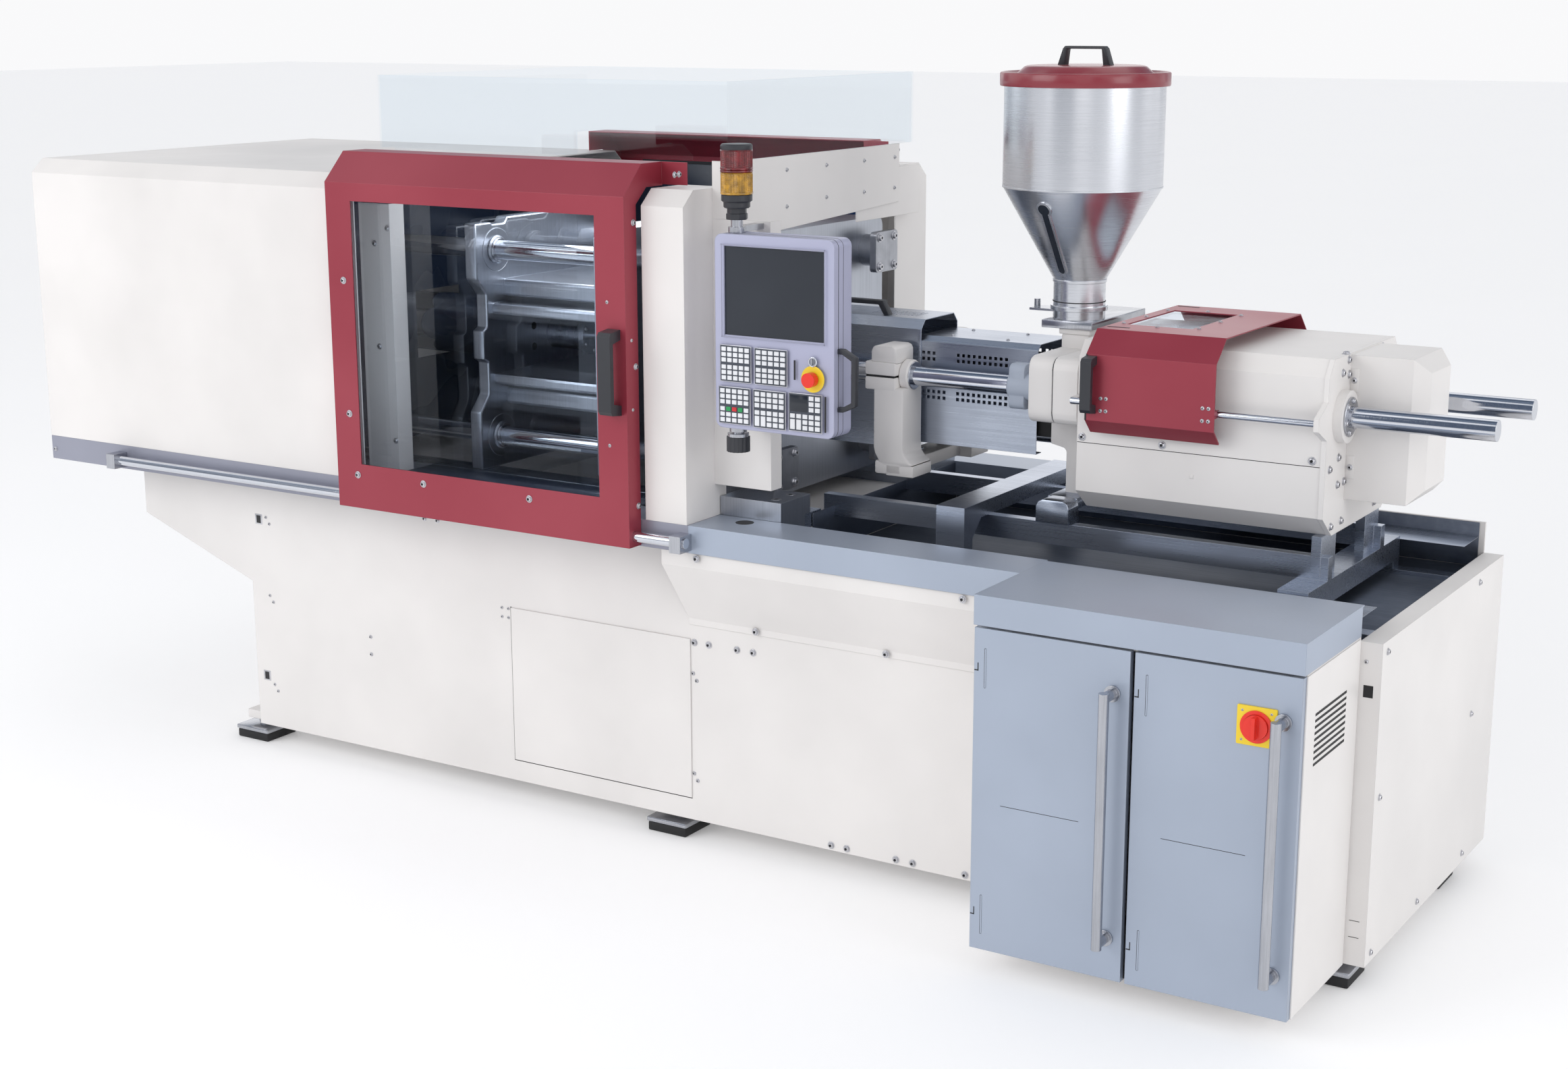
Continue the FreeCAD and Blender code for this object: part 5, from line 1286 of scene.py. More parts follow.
@dataclass
class OperatorPanel:
    """Keypads, trims, handle and switch surrounds on the swinging panel."""

    key_depth: float = 0.0022
    rim: float = 0.0016
    box: Span = field(default_factory=lambda: Span.of("panel_housing"))

    @property
    def front(self) -> float:
        """Where the panel's face stands."""
        return self.box.low.y

    def build(self) -> None:
        """Build everything that sits on the panel housing."""
        self.trims()
        self.keypads()
        self.handle()
        self.switches()

    def trims(self) -> None:
        """Seams round the housing, the screen's frame and the slots."""
        trims = Solid("panel_trims", "operator_panel", "black_moulding")
        low, high, front = self.box.low, self.box.high, self.front
        screen = Span.of("panel_screen")
        for y, width in ((front + 0.024, 0.0016), (front + 0.047, 0.001)):
            outer = rounded((low.x - 0.0004, low.z - 0.0004), (high.x + 0.0004, high.z + 0.0004),
                            0.0204, 6)
            trims.prism(outer, Axis.Y, y, y + width, SEAM)
        # The two slots are filled near-black: painted shade.
        for x, z0, z1 in ((0.5827, 1.318, 1.366), (0.6700, 1.196, 1.284)):
            trims.block((x - 0.0022, front - 0.0004, z0), (x + 0.0022, front + 0.001, z1), RECESS_SHADE)
        frame_low = (screen.low.x - 0.004, screen.low.z - 0.004)
        frame_high = (screen.high.x + 0.004, screen.high.z + 0.004)
        for u0, v0, u1, v1 in ((0, 0, 1, 0), (0, 1, 1, 1), (0, 0, 0, 1), (1, 0, 1, 1)):
            xs = [(frame_low[0], frame_high[0])[k] for k in (u0, u1)]
            zs = [(frame_low[1], frame_high[1])[k] for k in (v0, v1)]
            trims.block((xs[0] - 0.0012, front - 0.0006, zs[0] - 0.0012),
                        (xs[1] + 0.0012, front + 0.0008, zs[1] + 0.0012), PANEL, 0.0005)
        trims.finish()

    def keypads(self) -> None:
        """Five pads of membrane keys in slate beds with silver rims."""
        pads = Solid("panel_keypads", "operator_panel", "black_moulding")
        layout = [((0.3682, 1.2990), (0.4567, 1.3877), ""),
                  ((0.4690, 1.2993), (0.5610, 1.3867), ""),
                  ((0.3636, 1.1937), (0.4539, 1.2839), "colour"),
                  ((0.4649, 1.1918), (0.5566, 1.2839), "middle"),
                  ((0.5677, 1.1937), (0.6601, 1.2853), "right")]
        for low, high, kind in layout:
            self.pad(pads, low, high, kind)
        pads.finish()

    def pad(self, pads: Solid, low: Flat, high: Flat, kind: str) -> None:
        """Add one pad of five by six keys.

        Args:
            pads: The piece that takes it.
            low: Lower left corner (x, z).
            high: Upper right corner (x, z).
            kind: "colour", "middle", "right" or nothing special.
        """
        front, rim = self.front, self.rim
        pads.block((low[0] - rim, front - 0.0012, low[1] - rim),
                   (high[0] + rim, front + 0.001, high[1] + rim), ZINC, 0.0006)
        pads.block((low[0], front - 0.0016, low[1]), (high[0], front, high[1]), KEY_BED)
        columns, rows = 5, 6
        pitch_x = (high[0] - low[0] - 0.004) / columns
        pitch_z = (high[1] - low[1] - 0.008) / rows
        tall = {(0, 1), (1, 1)} if kind in ("middle", "right") else set()
        skip = {(column, row - 1) for column, row in tall}
        if kind == "right":
            skip |= {(column, row) for column in range(3) for row in (3, 4, 5)}
            pads.block((low[0] + 0.003, front - 0.0022, low[1] + 3 * pitch_z + 0.006),
                       (low[0] + 3 * pitch_x, front, high[1] - 0.003), SCREEN, 0.0004)
        for column in range(columns):
            for row in range(rows):
                if (column, row) in skip:
                    continue
                lift = 0.002 + (0.004 if row > 2 else 0.0)
                x0 = low[0] + 0.002 + column * pitch_x + 0.0022
                z0 = low[1] + lift + row * pitch_z + 0.0016
                z1 = z0 + pitch_z - 0.0032
                if (column, row) in tall:
                    z0 -= pitch_z
                finish = KEY_WHITE
                if kind == "colour" and row == 2 and column in (1, 2, 3):
                    finish = KEY_RED if column == 2 else KEY_GREEN
                pads.block((x0, front - 0.0016 - self.key_depth, z0),
                           (x0 + pitch_x - 0.0044, front - 0.001, z1), finish, 0.0006)

    def handle(self) -> None:
        """Black bracket handle on the right side of the housing."""
        handle = Solid("panel_handle", "operator_panel", "black_moulding")
        x, y = self.box.high.x, self.front + 0.030
        outline = [(x - 0.002, 1.399), (x + 0.014, 1.399), (x + 0.050, 1.380), (x + 0.050, 1.262),
                   (x + 0.014, 1.245), (x - 0.002, 1.245), (x - 0.002, 1.257), (x + 0.012, 1.257),
                   (x + 0.038, 1.271), (x + 0.038, 1.371), (x + 0.012, 1.386), (x - 0.002, 1.386)]
        handle.prism(outline, Axis.Y, y - 0.009, y + 0.009, BLACK, 0.0025)
        handle.finish()

    def switches(self) -> None:
        """Yellow disc under the stop button and the key's chrome surround."""
        front = self.front
        discs = Solid("panel_switch_rings", "operator_panel", "zinc_screw")
        discs.turned((0.635, front, 1.324), Axis.FRONT,
                     [(0.0, 0.0), (0.0325, 0.0), (0.0325, 0.0016), (0.031, 0.0022),
                      (0.0272, 0.0022)], YELLOW, 48)
        discs.ring((0.635, front, 1.366), Axis.FRONT, 0.003, 0.0095, 0.0125, CHROME, 0.0008, 32)
        discs.finish()
        knob = Solid("panel_pivot_knob", "machine", "black_moulding")
        base = Span.of("panel_post")
        valley, ridge = circle(0.0278, 36), circle(0.0296, 36)
        outline = [(POST_AT[0] + u, POST_AT[1] + v)
                   for u, v in ((valley if k % 2 else ridge)[k] for k in range(36))]
        knob.prism(outline, Axis.Z, base.low.z, base.low.z + 0.038, BLACK)
        knob.finish()


@dataclass
class BaseFittings:
    """Screws, slots and seams on the base and its slanted cover."""

    def build(self) -> None:
        """Build the fittings."""
        front = Span.of("base_frame").low.y
        screws = Solid("base_screws", "machine", "zinc_screw")
        small, large = 0.0045, 0.0075
        pairs = [(-0.977, 0.403, small), (-0.977, 0.350, small), (0.172, 0.558, large),
                 (0.218, 0.558, large), (0.307, 0.558, large), (0.357, 0.558, large),
                 (0.167, 0.472, small), (0.178, 0.453, small), (0.167, 0.192, small),
                 (0.178, 0.173, small), (0.596, 0.074, large), (0.643, 0.074, large),
                 (0.789, 0.074, large), (0.838, 0.074, large), (0.988, 0.074, large)]
        pairs += [(x, z, 0.0035) for x in (-0.480, -0.457) for z in (0.562, 0.536)]
        pairs += [(x, z - (0.019 if x > -1.37 else 0.0), 0.0038) for x in (-1.376, -1.363)
                  for z in (0.714, 0.473, 0.194)]
        for x, z, radius in pairs:
            screws.screw((x, front, z), Axis.FRONT, radius)
        for x, z in ((0.371, 0.619), (0.760, 0.618)):
            screws.screw((x, front - 0.010, z), Axis.FRONT, large)
        rail = Span.of("door_rails").low.y
        for x, z in ((0.270, 0.826), (1.037, 0.826)):
            screws.screw((x, rail - 0.0005, z), Axis.FRONT, large)
        for x in (-0.643, -0.596):
            screws.screw((x, rail + 0.006, 0.822), Axis.FRONT, 0.006)
        screws.screw((-2.128, rail - 0.0005, 0.868), Axis.FRONT, 0.0055)
        rear = Span.of("base_frame").high.y
        for x in (-1.30, -0.75, -0.20, 0.35, 0.90, 1.45, 1.90):
            for z in (0.100, 0.420, 0.740):
                screws.screw((x, rear, z), Axis.Y, 0.006)
        screws.finish()
        slots = Solid("base_slots", "machine", "black_moulding")
        for z in (0.690, 0.203):
            slots.block((-1.420, front - 0.0006, z), (-1.391, front + 0.001, z + 0.031), ZINC,
                        0.0004)
            slots.block((-1.414, front - 0.0010, z + 0.004), (-1.397, front, z + 0.027), SEAM)
        hatch = Span.of("access_panel")
        # Near-black strip along the hatch's left edge: painted shade in the gap.
        slots.block((hatch.low.x - 0.0035, front - 0.0004, hatch.low.z - 0.002),
                    (hatch.low.x, front + 0.001, hatch.high.z + 0.002), RECESS_SHADE)
        slots.block((hatch.low.x - 0.0035, front - 0.0004, hatch.low.z - 0.0035),
                    (hatch.high.x, front + 0.001, hatch.low.z - 0.0015), SEAM)
        for z in (0.330, 0.640):
            slots.block((-1.25, rear - 0.0005, z), (1.85, rear + 0.0006, z + 0.0015), SEAM)
        slots.finish()


@dataclass
class DoorFittings:
    """Screws, gaskets and brackets of the two safety doors."""

    screw: float = 0.0075

    def build(self) -> None:
        """Build the fittings of the front and the rear door."""
        self.door("front", "front_door", "door_frame", "door_window", 1.0)
        self.door("rear", "rear_door", "rear_door_frame", "rear_door_window", -1.0)
        self.rear_pull()

    def door(self, name: str, body: str, node: str, pane: str, side: float) -> None:
        """Add one door's screws and gasket.

        Args:
            name: Prefix of its pieces.
            body: CAD body of the door.
            node: CAD node of the frame.
            pane: CAD node of the pane.
            side: 1 for the front door, -1 for the rear one.
        """
        frame_box, window = Span.of(node), Span.of(pane)
        face = frame_box.low.y if side > 0 else frame_box.high.y
        screws = Solid(name + "_door_screws", body, "zinc_screw")
        if side > 0:
            for x, z in ((-0.847, 1.474), (-0.847, 1.106), (-0.826, 0.936), (-0.589, 0.936),
                         (-0.224, 0.936), (0.043, 1.474), (0.043, 1.106)):
                screws.screw((x, face, z), Axis.FRONT, 0.0035 if x > 0.0 else self.screw)
        for y, z, radius in ((-0.522, 1.673, 0.0065), (-0.521, 1.309, 0.0065),
                             (-0.519, 0.947, 0.0065), (-0.537, 1.378, 0.0035),
                             (-0.536, 1.200, 0.0035), (-0.45, 1.79, 0.006), (-0.43, 1.79, 0.006)):
            where = y if side > 0 else 2 * CENTRE_Y - y
            screws.screw((frame_box.high.x if z > 1.76 else 0.100, where, z), Axis.X, radius)
        screws.finish()
        gasket = Solid(name + "_door_gasket", body, "black_moulding")
        low, high, over, under = window.low, window.high, 0.020, 0.014
        inside = face + side * 0.0032
        back, front = sorted((inside, inside - side * 0.002))
        for z0, z1 in ((low.z - under, low.z + over), (high.z - over, high.z + under)):
            gasket.block((low.x + over, back, z0), (high.x - over, front, z1), GASKET)
        for x0, x1 in ((low.x - under, low.x + over), (high.x - over, high.x + under)):
            gasket.block((x0, back, low.z + over), (x1, front, high.z - over), GASKET)
        gasket.finish()

    def rear_pull(self) -> None:
        """Flush pull on the rear door, sunk between two plates."""
        face = Span.of("rear_door_frame").high.y
        pull = Solid("rear_door_pull", "rear_door", "black_moulding")
        pull.block((0.036, face - 0.004, 1.200), (0.084, face - 0.0004, 1.400), BLACK, 0.0015)
        # Near-black inside of the pull: painted shade in its recess.
        pull.block((0.044, face - 0.003, 1.212), (0.076, face - 0.0002, 1.388), RECESS_SHADE)
        pull.finish()


@dataclass
class BarrelShrouds:
    """Perforated sheets over the barrel, in place of the plain ones."""

    hole: float = 0.0085
    pitch: float = 0.0155

    def build(self) -> None:
        """Build the rear shroud and the nozzle guard."""
        self.rear()
        self.nozzle()

    def windows(self, starts: Sequence[tuple[float, int]], walks: Sequence[float]
                ) -> list[tuple[float, float, float, float]]:
        """Square openings in two rows.

        Args:
            starts: Where each group starts along X, and its number of columns.
            walks: Distance along the section of each row.

        Returns:
            The openings for `perforated`.
        """
        return [(x + k * self.pitch, x + k * self.pitch + self.hole, s, s + self.hole)
                for x, count in starts for k in range(count) for s in walks]

    def rear(self) -> None:
        """Rear shroud, fixed to the feed housing."""
        box = Span.of("barrel_shroud")
        half = (box.high.y - box.low.y) / 2
        low, high, inset = box.low.z, box.high.z, 0.014
        section = [(CENTRE_Y - half + 0.03, low), (CENTRE_Y - half, low),
                   (CENTRE_Y - half, high - inset), (CENTRE_Y - half + inset, high),
                   (CENTRE_Y + half - inset, high), (CENTRE_Y + half, high - inset),
                   (CENTRE_Y + half, low), (CENTRE_Y + half - 0.03, low)]
        start = 0.03
        tall = high - inset - low
        rows = [start + tall - 0.034 - k * self.pitch for k in (0, 1)]
        lower = [start + 0.118 + k * self.pitch for k in (0, 1)]
        length = start + tall + inset * math.sqrt(2)
        width = 2 * (half - inset)
        far = length + width + inset * math.sqrt(2)
        mirror_rows = [far + (start + tall) - s - self.hole for s in rows + lower]
        windows = self.windows([(0.631, 3), (0.733, 10)], rows)
        windows += self.windows([(0.631, 5), (0.733, 10), (0.893, 4)], lower)
        windows += self.windows([(0.631, 5), (0.733, 10), (0.893, 4)], mirror_rows)
        sheet = perforated("barrel_shroud_detail", "injection_unit", section,
                           (box.low.x, box.high.x), BLUED, 0.002, windows, "blued_sheet")
        for x, y in ((0.70, 0.06), (0.70, 0.176), (0.86, 0.06), (0.86, 0.176)):
            sheet.screw((x, y, high), Axis.Z, 0.004)
        sheet.finish(replaces=["barrel_shroud"])

    def nozzle(self) -> None:
        """Nozzle guard that slides back over the rear shroud, with its black handle."""
        box = Span.of("nozzle_guard")
        half = (box.high.y - box.low.y) / 2
        low, high, inset, drop = box.low.z, box.high.z, 0.0215, 0.024
        slope = math.hypot(inset, drop)
        section = [(CENTRE_Y - half + 0.02, low), (CENTRE_Y - half, low),
                   (CENTRE_Y - half, high - drop), (CENTRE_Y - half + inset, high),
                   (CENTRE_Y + half - inset, high), (CENTRE_Y + half, high - drop),
                   (CENTRE_Y + half, low), (CENTRE_Y + half - 0.02, low)]
        top = 0.02 + (high - drop - low) + slope
        rows = [top + 0.045 + k * 0.012 for k in range(6)]
        windows = [(0.44 + k * 0.012, 0.4465 + k * 0.012, s, s + 0.0065)
                   for k in range(12) for s in rows]
        guard = perforated("nozzle_guard_detail", "front_shroud", section,
                           (box.low.x, box.high.x), BLUED, 0.002, windows, "blued_sheet")
        guard.block((box.high.x - 0.010, CENTRE_Y - half - 0.0004, low + 0.15),
                    (box.high.x - 0.0005, CENTRE_Y - half + 0.001, high - drop), BLUED, 0.0004)
        y = CENTRE_Y - half + inset + 0.030
        outline = [(0.355, high), (0.372, high), (0.384, high + 0.026), (0.476, high + 0.026),
                   (0.492, high), (0.509, high), (0.489, high + 0.038), (0.371, high + 0.038)]
        guard.prism(outline, Axis.Y, y - 0.011, y + 0.011, BLACK, 0.002)
        guard.finish(replaces=["nozzle_guard"])


@dataclass
class MovingPlaten:
    """Cast moving platen: a notched rear plate, its ribs and the mould face plate."""

    left: float = -0.690
    back: float = 0.040
    right: float = -0.140
    face: float = 0.100
    half: float = 0.355

    def build(self) -> None:
        """Build the casting, its bar collars and the ejector's bolts."""
        casting = Solid("moving_platen_casting", "clamp_platen", "machined_steel")
        half, low = self.half, 0.9103 - AXIS_Z
        side = [(half, low), (half, -0.190), (half - 0.042, -0.142), (half - 0.042, -0.050),
                (half - 0.022, -0.040), (half - 0.022, 0.040), (half - 0.042, 0.050),
                (half - 0.042, 0.142), (half, 0.190), (half, 0.344), (half - 0.070, 0.344),
                (half - 0.078, 0.338), (half - 0.130, 0.338), (half - 0.142, 0.3545)]
        outline = [(CENTRE_Y + y, AXIS_Z + z) for y, z in side]
        outline += [(CENTRE_Y - y, AXIS_Z + z) for y, z in reversed(side)]
        rear, front = self.left + self.back, self.right - self.face
        casting.prism(outline, Axis.X, self.left, rear, BRUSHED, 0.005)
        arc = [math.radians(90 - 15 * k) for k in range(13)]
        for out in (-1, 1):
            plate = [(0.0, low), (half - 0.030, low), (half, low + 0.030), (half, 0.3245),
                     (half - 0.030, 0.3545), (0.0, 0.3545)]
            plate += [(0.0148 * math.cos(a), 0.0148 * math.sin(a)) for a in arc]
            casting.prism([(CENTRE_Y + out * y, AXIS_Z + z) for y, z in plate], Axis.X,
                          front, self.right, BRUSHED)
        for middle, thick, reach in ((0.100, 0.032, 0.290), (0.155, 0.050, 0.235)):
            for up in (-1, 1):
                z = AXIS_Z + up * middle
                casting.block((rear - 0.006, CENTRE_Y - reach, z - thick / 2),
                              (front + 0.004, CENTRE_Y + reach, z + thick / 2), BRUSHED, 0.009)
        for out in (-1, 1):
            for up in (-1, 1):
                y, z = CENTRE_Y + out * TIE_Y, AXIS_Z + up * TIE_Z
                casting.ring((rear - 0.001, y, z), Axis.X, 0.010, 0.0272, 0.040, BRUSHED, 0.004)
                casting.ring((rear + 0.008, y, z), Axis.X, 0.006, 0.0272, 0.0335, TURNED, 0.002)
                casting.ring((rear - 0.002, y, z), Axis.X, 0.003, 0.0272, 0.062, BRUSHED, 0.002)
                # Near-black discs on the rear plate: painted shade in its holes.
                casting.rod((rear - 0.001, CENTRE_Y + out * 0.104, AXIS_Z + up * 0.030),
                            Axis.X, 0.0016, 0.011, RECESS_SHADE, 0.0, 24)
        end = Span.of("ejector_cylinder").high.x
        for k in range(6):
            a = math.radians(60 * k + 30)
            casting.screw((end, CENTRE_Y + 0.045 * math.cos(a),
                           AXIS_Z + 0.045 * math.sin(a)), Axis.X, 0.005)
        casting.finish(["moving_platen"], 22.0)


@dataclass
class ShadeSheetsAndDeck:
    """Dark navy sheets that paint the shade inside the clamp end and the mould space, and the
    deck's steel sheets.
    """

    wall: float = -1.101

    def build(self) -> None:
        """Build the navy painted-shade sheets of each body."""
        # Navy painted shade on the clamp end's far wall and side walls, on the bed beside the tie
        # bars and inside the base.
        clamp = Solid("clamp_painted_shade", "machine")
        ends = (self.wall, self.wall + 0.001)
        for y0, y1, z0, z1 in ((-0.60, 0.60, 0.93, 1.165), (-0.60, -0.10, 1.165, 1.367),
                               (0.10, 0.60, 1.165, 1.367), (-0.60, 0.60, 1.367, 1.65)):
            clamp.block((ends[0], CENTRE_Y + y0, z0), (ends[1], CENTRE_Y + y1, z1), NAVY_SHADE)
        clamp.block((-1.100, CENTRE_Y + 0.6188, 0.93), (-0.852, CENTRE_Y + 0.6196, 1.70),
                    NAVY_SHADE)
        clamp.block((-0.954, CENTRE_Y + 0.4320, 0.93), (-0.834, CENTRE_Y + 0.4330, 1.666),
                    NAVY_SHADE)
        for side in (-1, 1):
            near, far = sorted((CENTRE_Y + side * 0.362, CENTRE_Y + side * 0.484))
            clamp.block((-0.830, near, 0.9102), (0.078, far, 0.9110), NAVY_SHADE, 0.0002)
        clamp.block((-0.608, CENTRE_Y + 0.2540, 0.30), (0.048, CENTRE_Y + 0.2546, 0.905),
                    NAVY_SHADE)
        clamp.finish()
        posts = Solid("guard_screws", "machine", "zinc_screw")
        for x, z in ((-0.895, 1.556), (-0.892, 1.266), (-0.846, 1.600), (-0.846, 1.000)):
            posts.screw((x, CENTRE_Y - 0.4965, z), Axis.FRONT, 0.0065)
        side_face = Span.of("side_guard").high.x
        for y, z in ((0.10, 1.785), (0.10, 1.70), (0.30, 1.785), (0.30, 1.70), (0.47, 1.785),
                     (0.47, 1.70), (-0.10, 1.785), (-0.30, 1.785), (-0.30, 1.68), (-0.10, 1.69)):
            posts.screw((side_face, y, z), Axis.X, 0.0045)
        posts.finish()
        # Navy painted shade on the inside of the rear door.
        door = Solid("rear_door_painted_shade", "rear_door")
        inner = Span.of("rear_door_frame").high.y - 0.010
        door.block((-0.893, inner - 0.0015, 0.955), (-0.107, inner, 1.715), NAVY_SHADE, 0.0004)
        door.finish()
        deck = Solid("deck_sheets", "machine", "blued_sheet")
        for side in (-1, 1):
            near, far = sorted((CENTRE_Y + side * 0.3455, CENTRE_Y + side * 0.4780))
            deck.block((1.200, near, 0.8702), (1.948, far, 0.8712), BLUED, 0.0003)
        deck.block((0.434, CENTRE_Y - 0.484, 0.7903), (1.946, CENTRE_Y + 0.484, 0.7911), TRAY,
                   0.0003)
        deck.block((0.434, CENTRE_Y + 0.4835, 0.792), (1.946, CENTRE_Y + 0.4843, 0.906), TRAY,
                   0.0003)
        deck.block((0.4315, CENTRE_Y - 0.320, 0.792), (0.4325, CENTRE_Y + 0.484, 0.906), TRAY,
                   0.0003)
        deck.finish()


@dataclass
class TiePlateBolts:
    """Large socket screws with their rings at the corners of the tie bar plates."""

    face: float = 0.317
    spread: float = 0.040

    def build(self) -> None:
        """Build four bolts on each plate."""
        bolts = Solid("tie_plate_bolts", "machine", "zinc_screw")
        for k in range(16):
            out, up, right, over = (1 if k & bit else -1 for bit in (1, 2, 4, 8))
            at = (self.face, CENTRE_Y + out * TIE_Y + right * self.spread,
                  AXIS_Z + up * TIE_Z + over * self.spread)
            # Near-black ring under each head: painted shade round it.
            bolts.ring(at, Axis.X, 0.0012, 0.0085, 0.0125, RECESS_SHADE, 0.0003, 32)
            bolts.screw(at, Axis.X, 0.0095)
        for y in (-0.435, -0.365):
            bolts.rod((0.392, CENTRE_Y + y, 0.9598), Axis.Z, 0.0008, 0.013, ZINC, 0.0003, 32)
            # Near-black hex socket: painted shade in the recess.
            bolts.rod((0.392, CENTRE_Y + y, 0.9604), Axis.Z, 0.0004, 0.006, RECESS_SHADE, 0.0, 6)
        # Near-black disc on the bed cap: painted shade in a hole.
        bolts.turned((0.350, CENTRE_Y - 0.520, Span.of("bed_cap").high.z - 0.0002), Axis.Z,
                     [(0.024, 0.0), (0.024, 0.0006)], RECESS_SHADE, 40)
        bolts.finish()


@dataclass
class Castings:
    """Front bracket and feed housing of the injection unit, as rounded castings."""

    hub_in: float = 0.0252

    def build(self) -> None:
        """Build both castings."""
        self.bracket()
        self.feed()

    def bracket(self) -> None:
        """Front bracket: a hump over a split clamp, a bent arm and a toe on each side."""
        bracket = Solid("front_bracket_casting", "injection_unit", "white_paint")
        arm = [(0.552, 1.236), (0.552, 1.078), (0.556, 1.062), (0.572, 1.036), (0.582, 1.032),
               (0.668, 1.032), (0.668, 1.042), (0.652, 1.052), (0.642, 1.066), (0.640, 1.085),
               (0.640, 1.236)]
        hump = [(0.542, 1.296), (0.542, 1.330), (0.547, 1.341), (0.558, 1.345), (0.603, 1.345),
                (0.612, 1.341), (0.616, 1.332), (0.616, 1.296)]
        for side in (-1, 1):
            near, far = sorted((CENTRE_Y + side * 0.112, CENTRE_Y + side * 0.215))
            bracket.prism(arm, Axis.Y, near, far, WHITE, 0.006)
            bracket.prism(hump, Axis.Y, near + 0.004, far - 0.004, WHITE, 0.005)
            bracket.block((0.526, near, 1.229), (0.616, far, 1.2635), WHITE, 0.005)
            bracket.block((0.526, near, 1.2675), (0.616, far, 1.303), WHITE, 0.005)
            # Near-black strip between the clamp halves: painted shade in the split.
            bracket.block((0.529, near + 0.003, 1.262), (0.612, far - 0.003, 1.269), RECESS_SHADE)
            bracket.block((0.590, near + 0.001, 1.006), (0.671, far - 0.001, 1.036), WHITE, 0.003)
            bracket.ring((0.616, CENTRE_Y + side * ROD_Y, AXIS_Z), Axis.X, 0.026,
                         self.hub_in, 0.041, WHITE, 0.004)
            bracket.ring((0.641, CENTRE_Y + side * ROD_Y, AXIS_Z), Axis.X, 0.004,
                         0.0251, 0.036, TURNED, 0.001)
            for y in (CENTRE_Y + side * 0.140, CENTRE_Y + side * 0.188):
                bracket.rod((0.536, y, 1.3026), Axis.Z, 0.0012, 0.0075, ZINC, 0.0006, 24)
                # Near-black hex sockets: painted shade in the recesses.
                bracket.rod((0.536, y, 1.3034), Axis.Z, 0.0006, 0.0038, RECESS_SHADE, 0.0, 6)
        bracket.block((0.556, CENTRE_Y - 0.214, 1.008), (0.636, CENTRE_Y + 0.214, 1.044), WHITE,
                      0.006)
        bracket.finish(["front_bracket"], 24.0)

    def feed(self) -> None:
        """Feed housing: two halves, a tower, rod collars, a leg and its feet."""
        feed = Solid("feed_housing_casting", "injection_unit", "white_paint")
        for low, high, edge in ((1.005, 1.0715, 0.006), (1.0725, 1.140, 0.003)):
            feed.prism(rounded((CENTRE_Y - 0.235, 1.188), (CENTRE_Y + 0.235, 1.356), 0.030, 3),
                       Axis.X, low, high, WHITE, edge)
        feed.prism(rounded((CENTRE_Y - 0.232, 1.191), (CENTRE_Y + 0.232, 1.353), 0.028, 6),
                   Axis.X, 1.066, 1.078, GASKET)
        feed.block((1.008, CENTRE_Y - 0.063, 1.320), (1.090, CENTRE_Y + 0.063, 1.399), WHITE,
                   0.014)
        feed.block((1.006, CENTRE_Y - 0.066, 1.391), (1.092, CENTRE_Y + 0.066, 1.405), WHITE,
                   0.003)
        feed.prism([(1.002, 1.350), (1.010, 1.350), (1.010, 1.372), (1.050, 1.392),
                    (1.092, 1.392), (1.132, 1.356), (1.132, 1.350)], Axis.Y, CENTRE_Y - 0.050,
                   CENTRE_Y + 0.050, WHITE, 0.001)
        feed.block((0.960, CENTRE_Y - 0.072, 1.405), (1.100, CENTRE_Y + 0.262, 1.425), TURNED,
                   0.002)
        # Near-black block at the housing's front: painted shade.
        feed.block((0.951, CENTRE_Y - 0.086, 1.126), (1.008, CENTRE_Y + 0.086, 1.328), RECESS_SHADE,
                   0.002)
        feed.prism([(1.012, 1.192), (1.012, 1.116), (1.050, 1.108), (1.056, 1.100),
                    (1.056, 0.994), (1.112, 0.994), (1.112, 1.192)], Axis.Y, CENTRE_Y - 0.110,
                   CENTRE_Y + 0.110, WHITE, 0.003)
        for side in (-1, 1):
            y = CENTRE_Y + side * ROD_Y
            feed.prism(rounded((y - 0.030, AXIS_Z - 0.058), (y + 0.030, AXIS_Z + 0.058),
                               0.018, 3), Axis.X, 0.928, 0.972, COLLAR, 0.003)
            feed.rod((0.924, y, AXIS_Z), Axis.X, 0.082, 0.0365, COLLAR, 0.003, 40)
            near, far = sorted((CENTRE_Y + side * 0.165, CENTRE_Y + side * 0.226))
            feed.prism([(1.030, 0.9362), (1.030, 0.978), (1.036, 0.990), (1.048, 0.996),
                        (1.104, 0.996), (1.116, 0.990), (1.120, 0.978), (1.120, 0.9362)],
                       Axis.Y, near, far, BLUED, 0.002)
        feed.block((1.034, CENTRE_Y - 0.166, 0.966), (1.116, CENTRE_Y + 0.166, 0.995), BLUED,
                   0.003)
        feed.finish(["feed_housing"], 24.0)


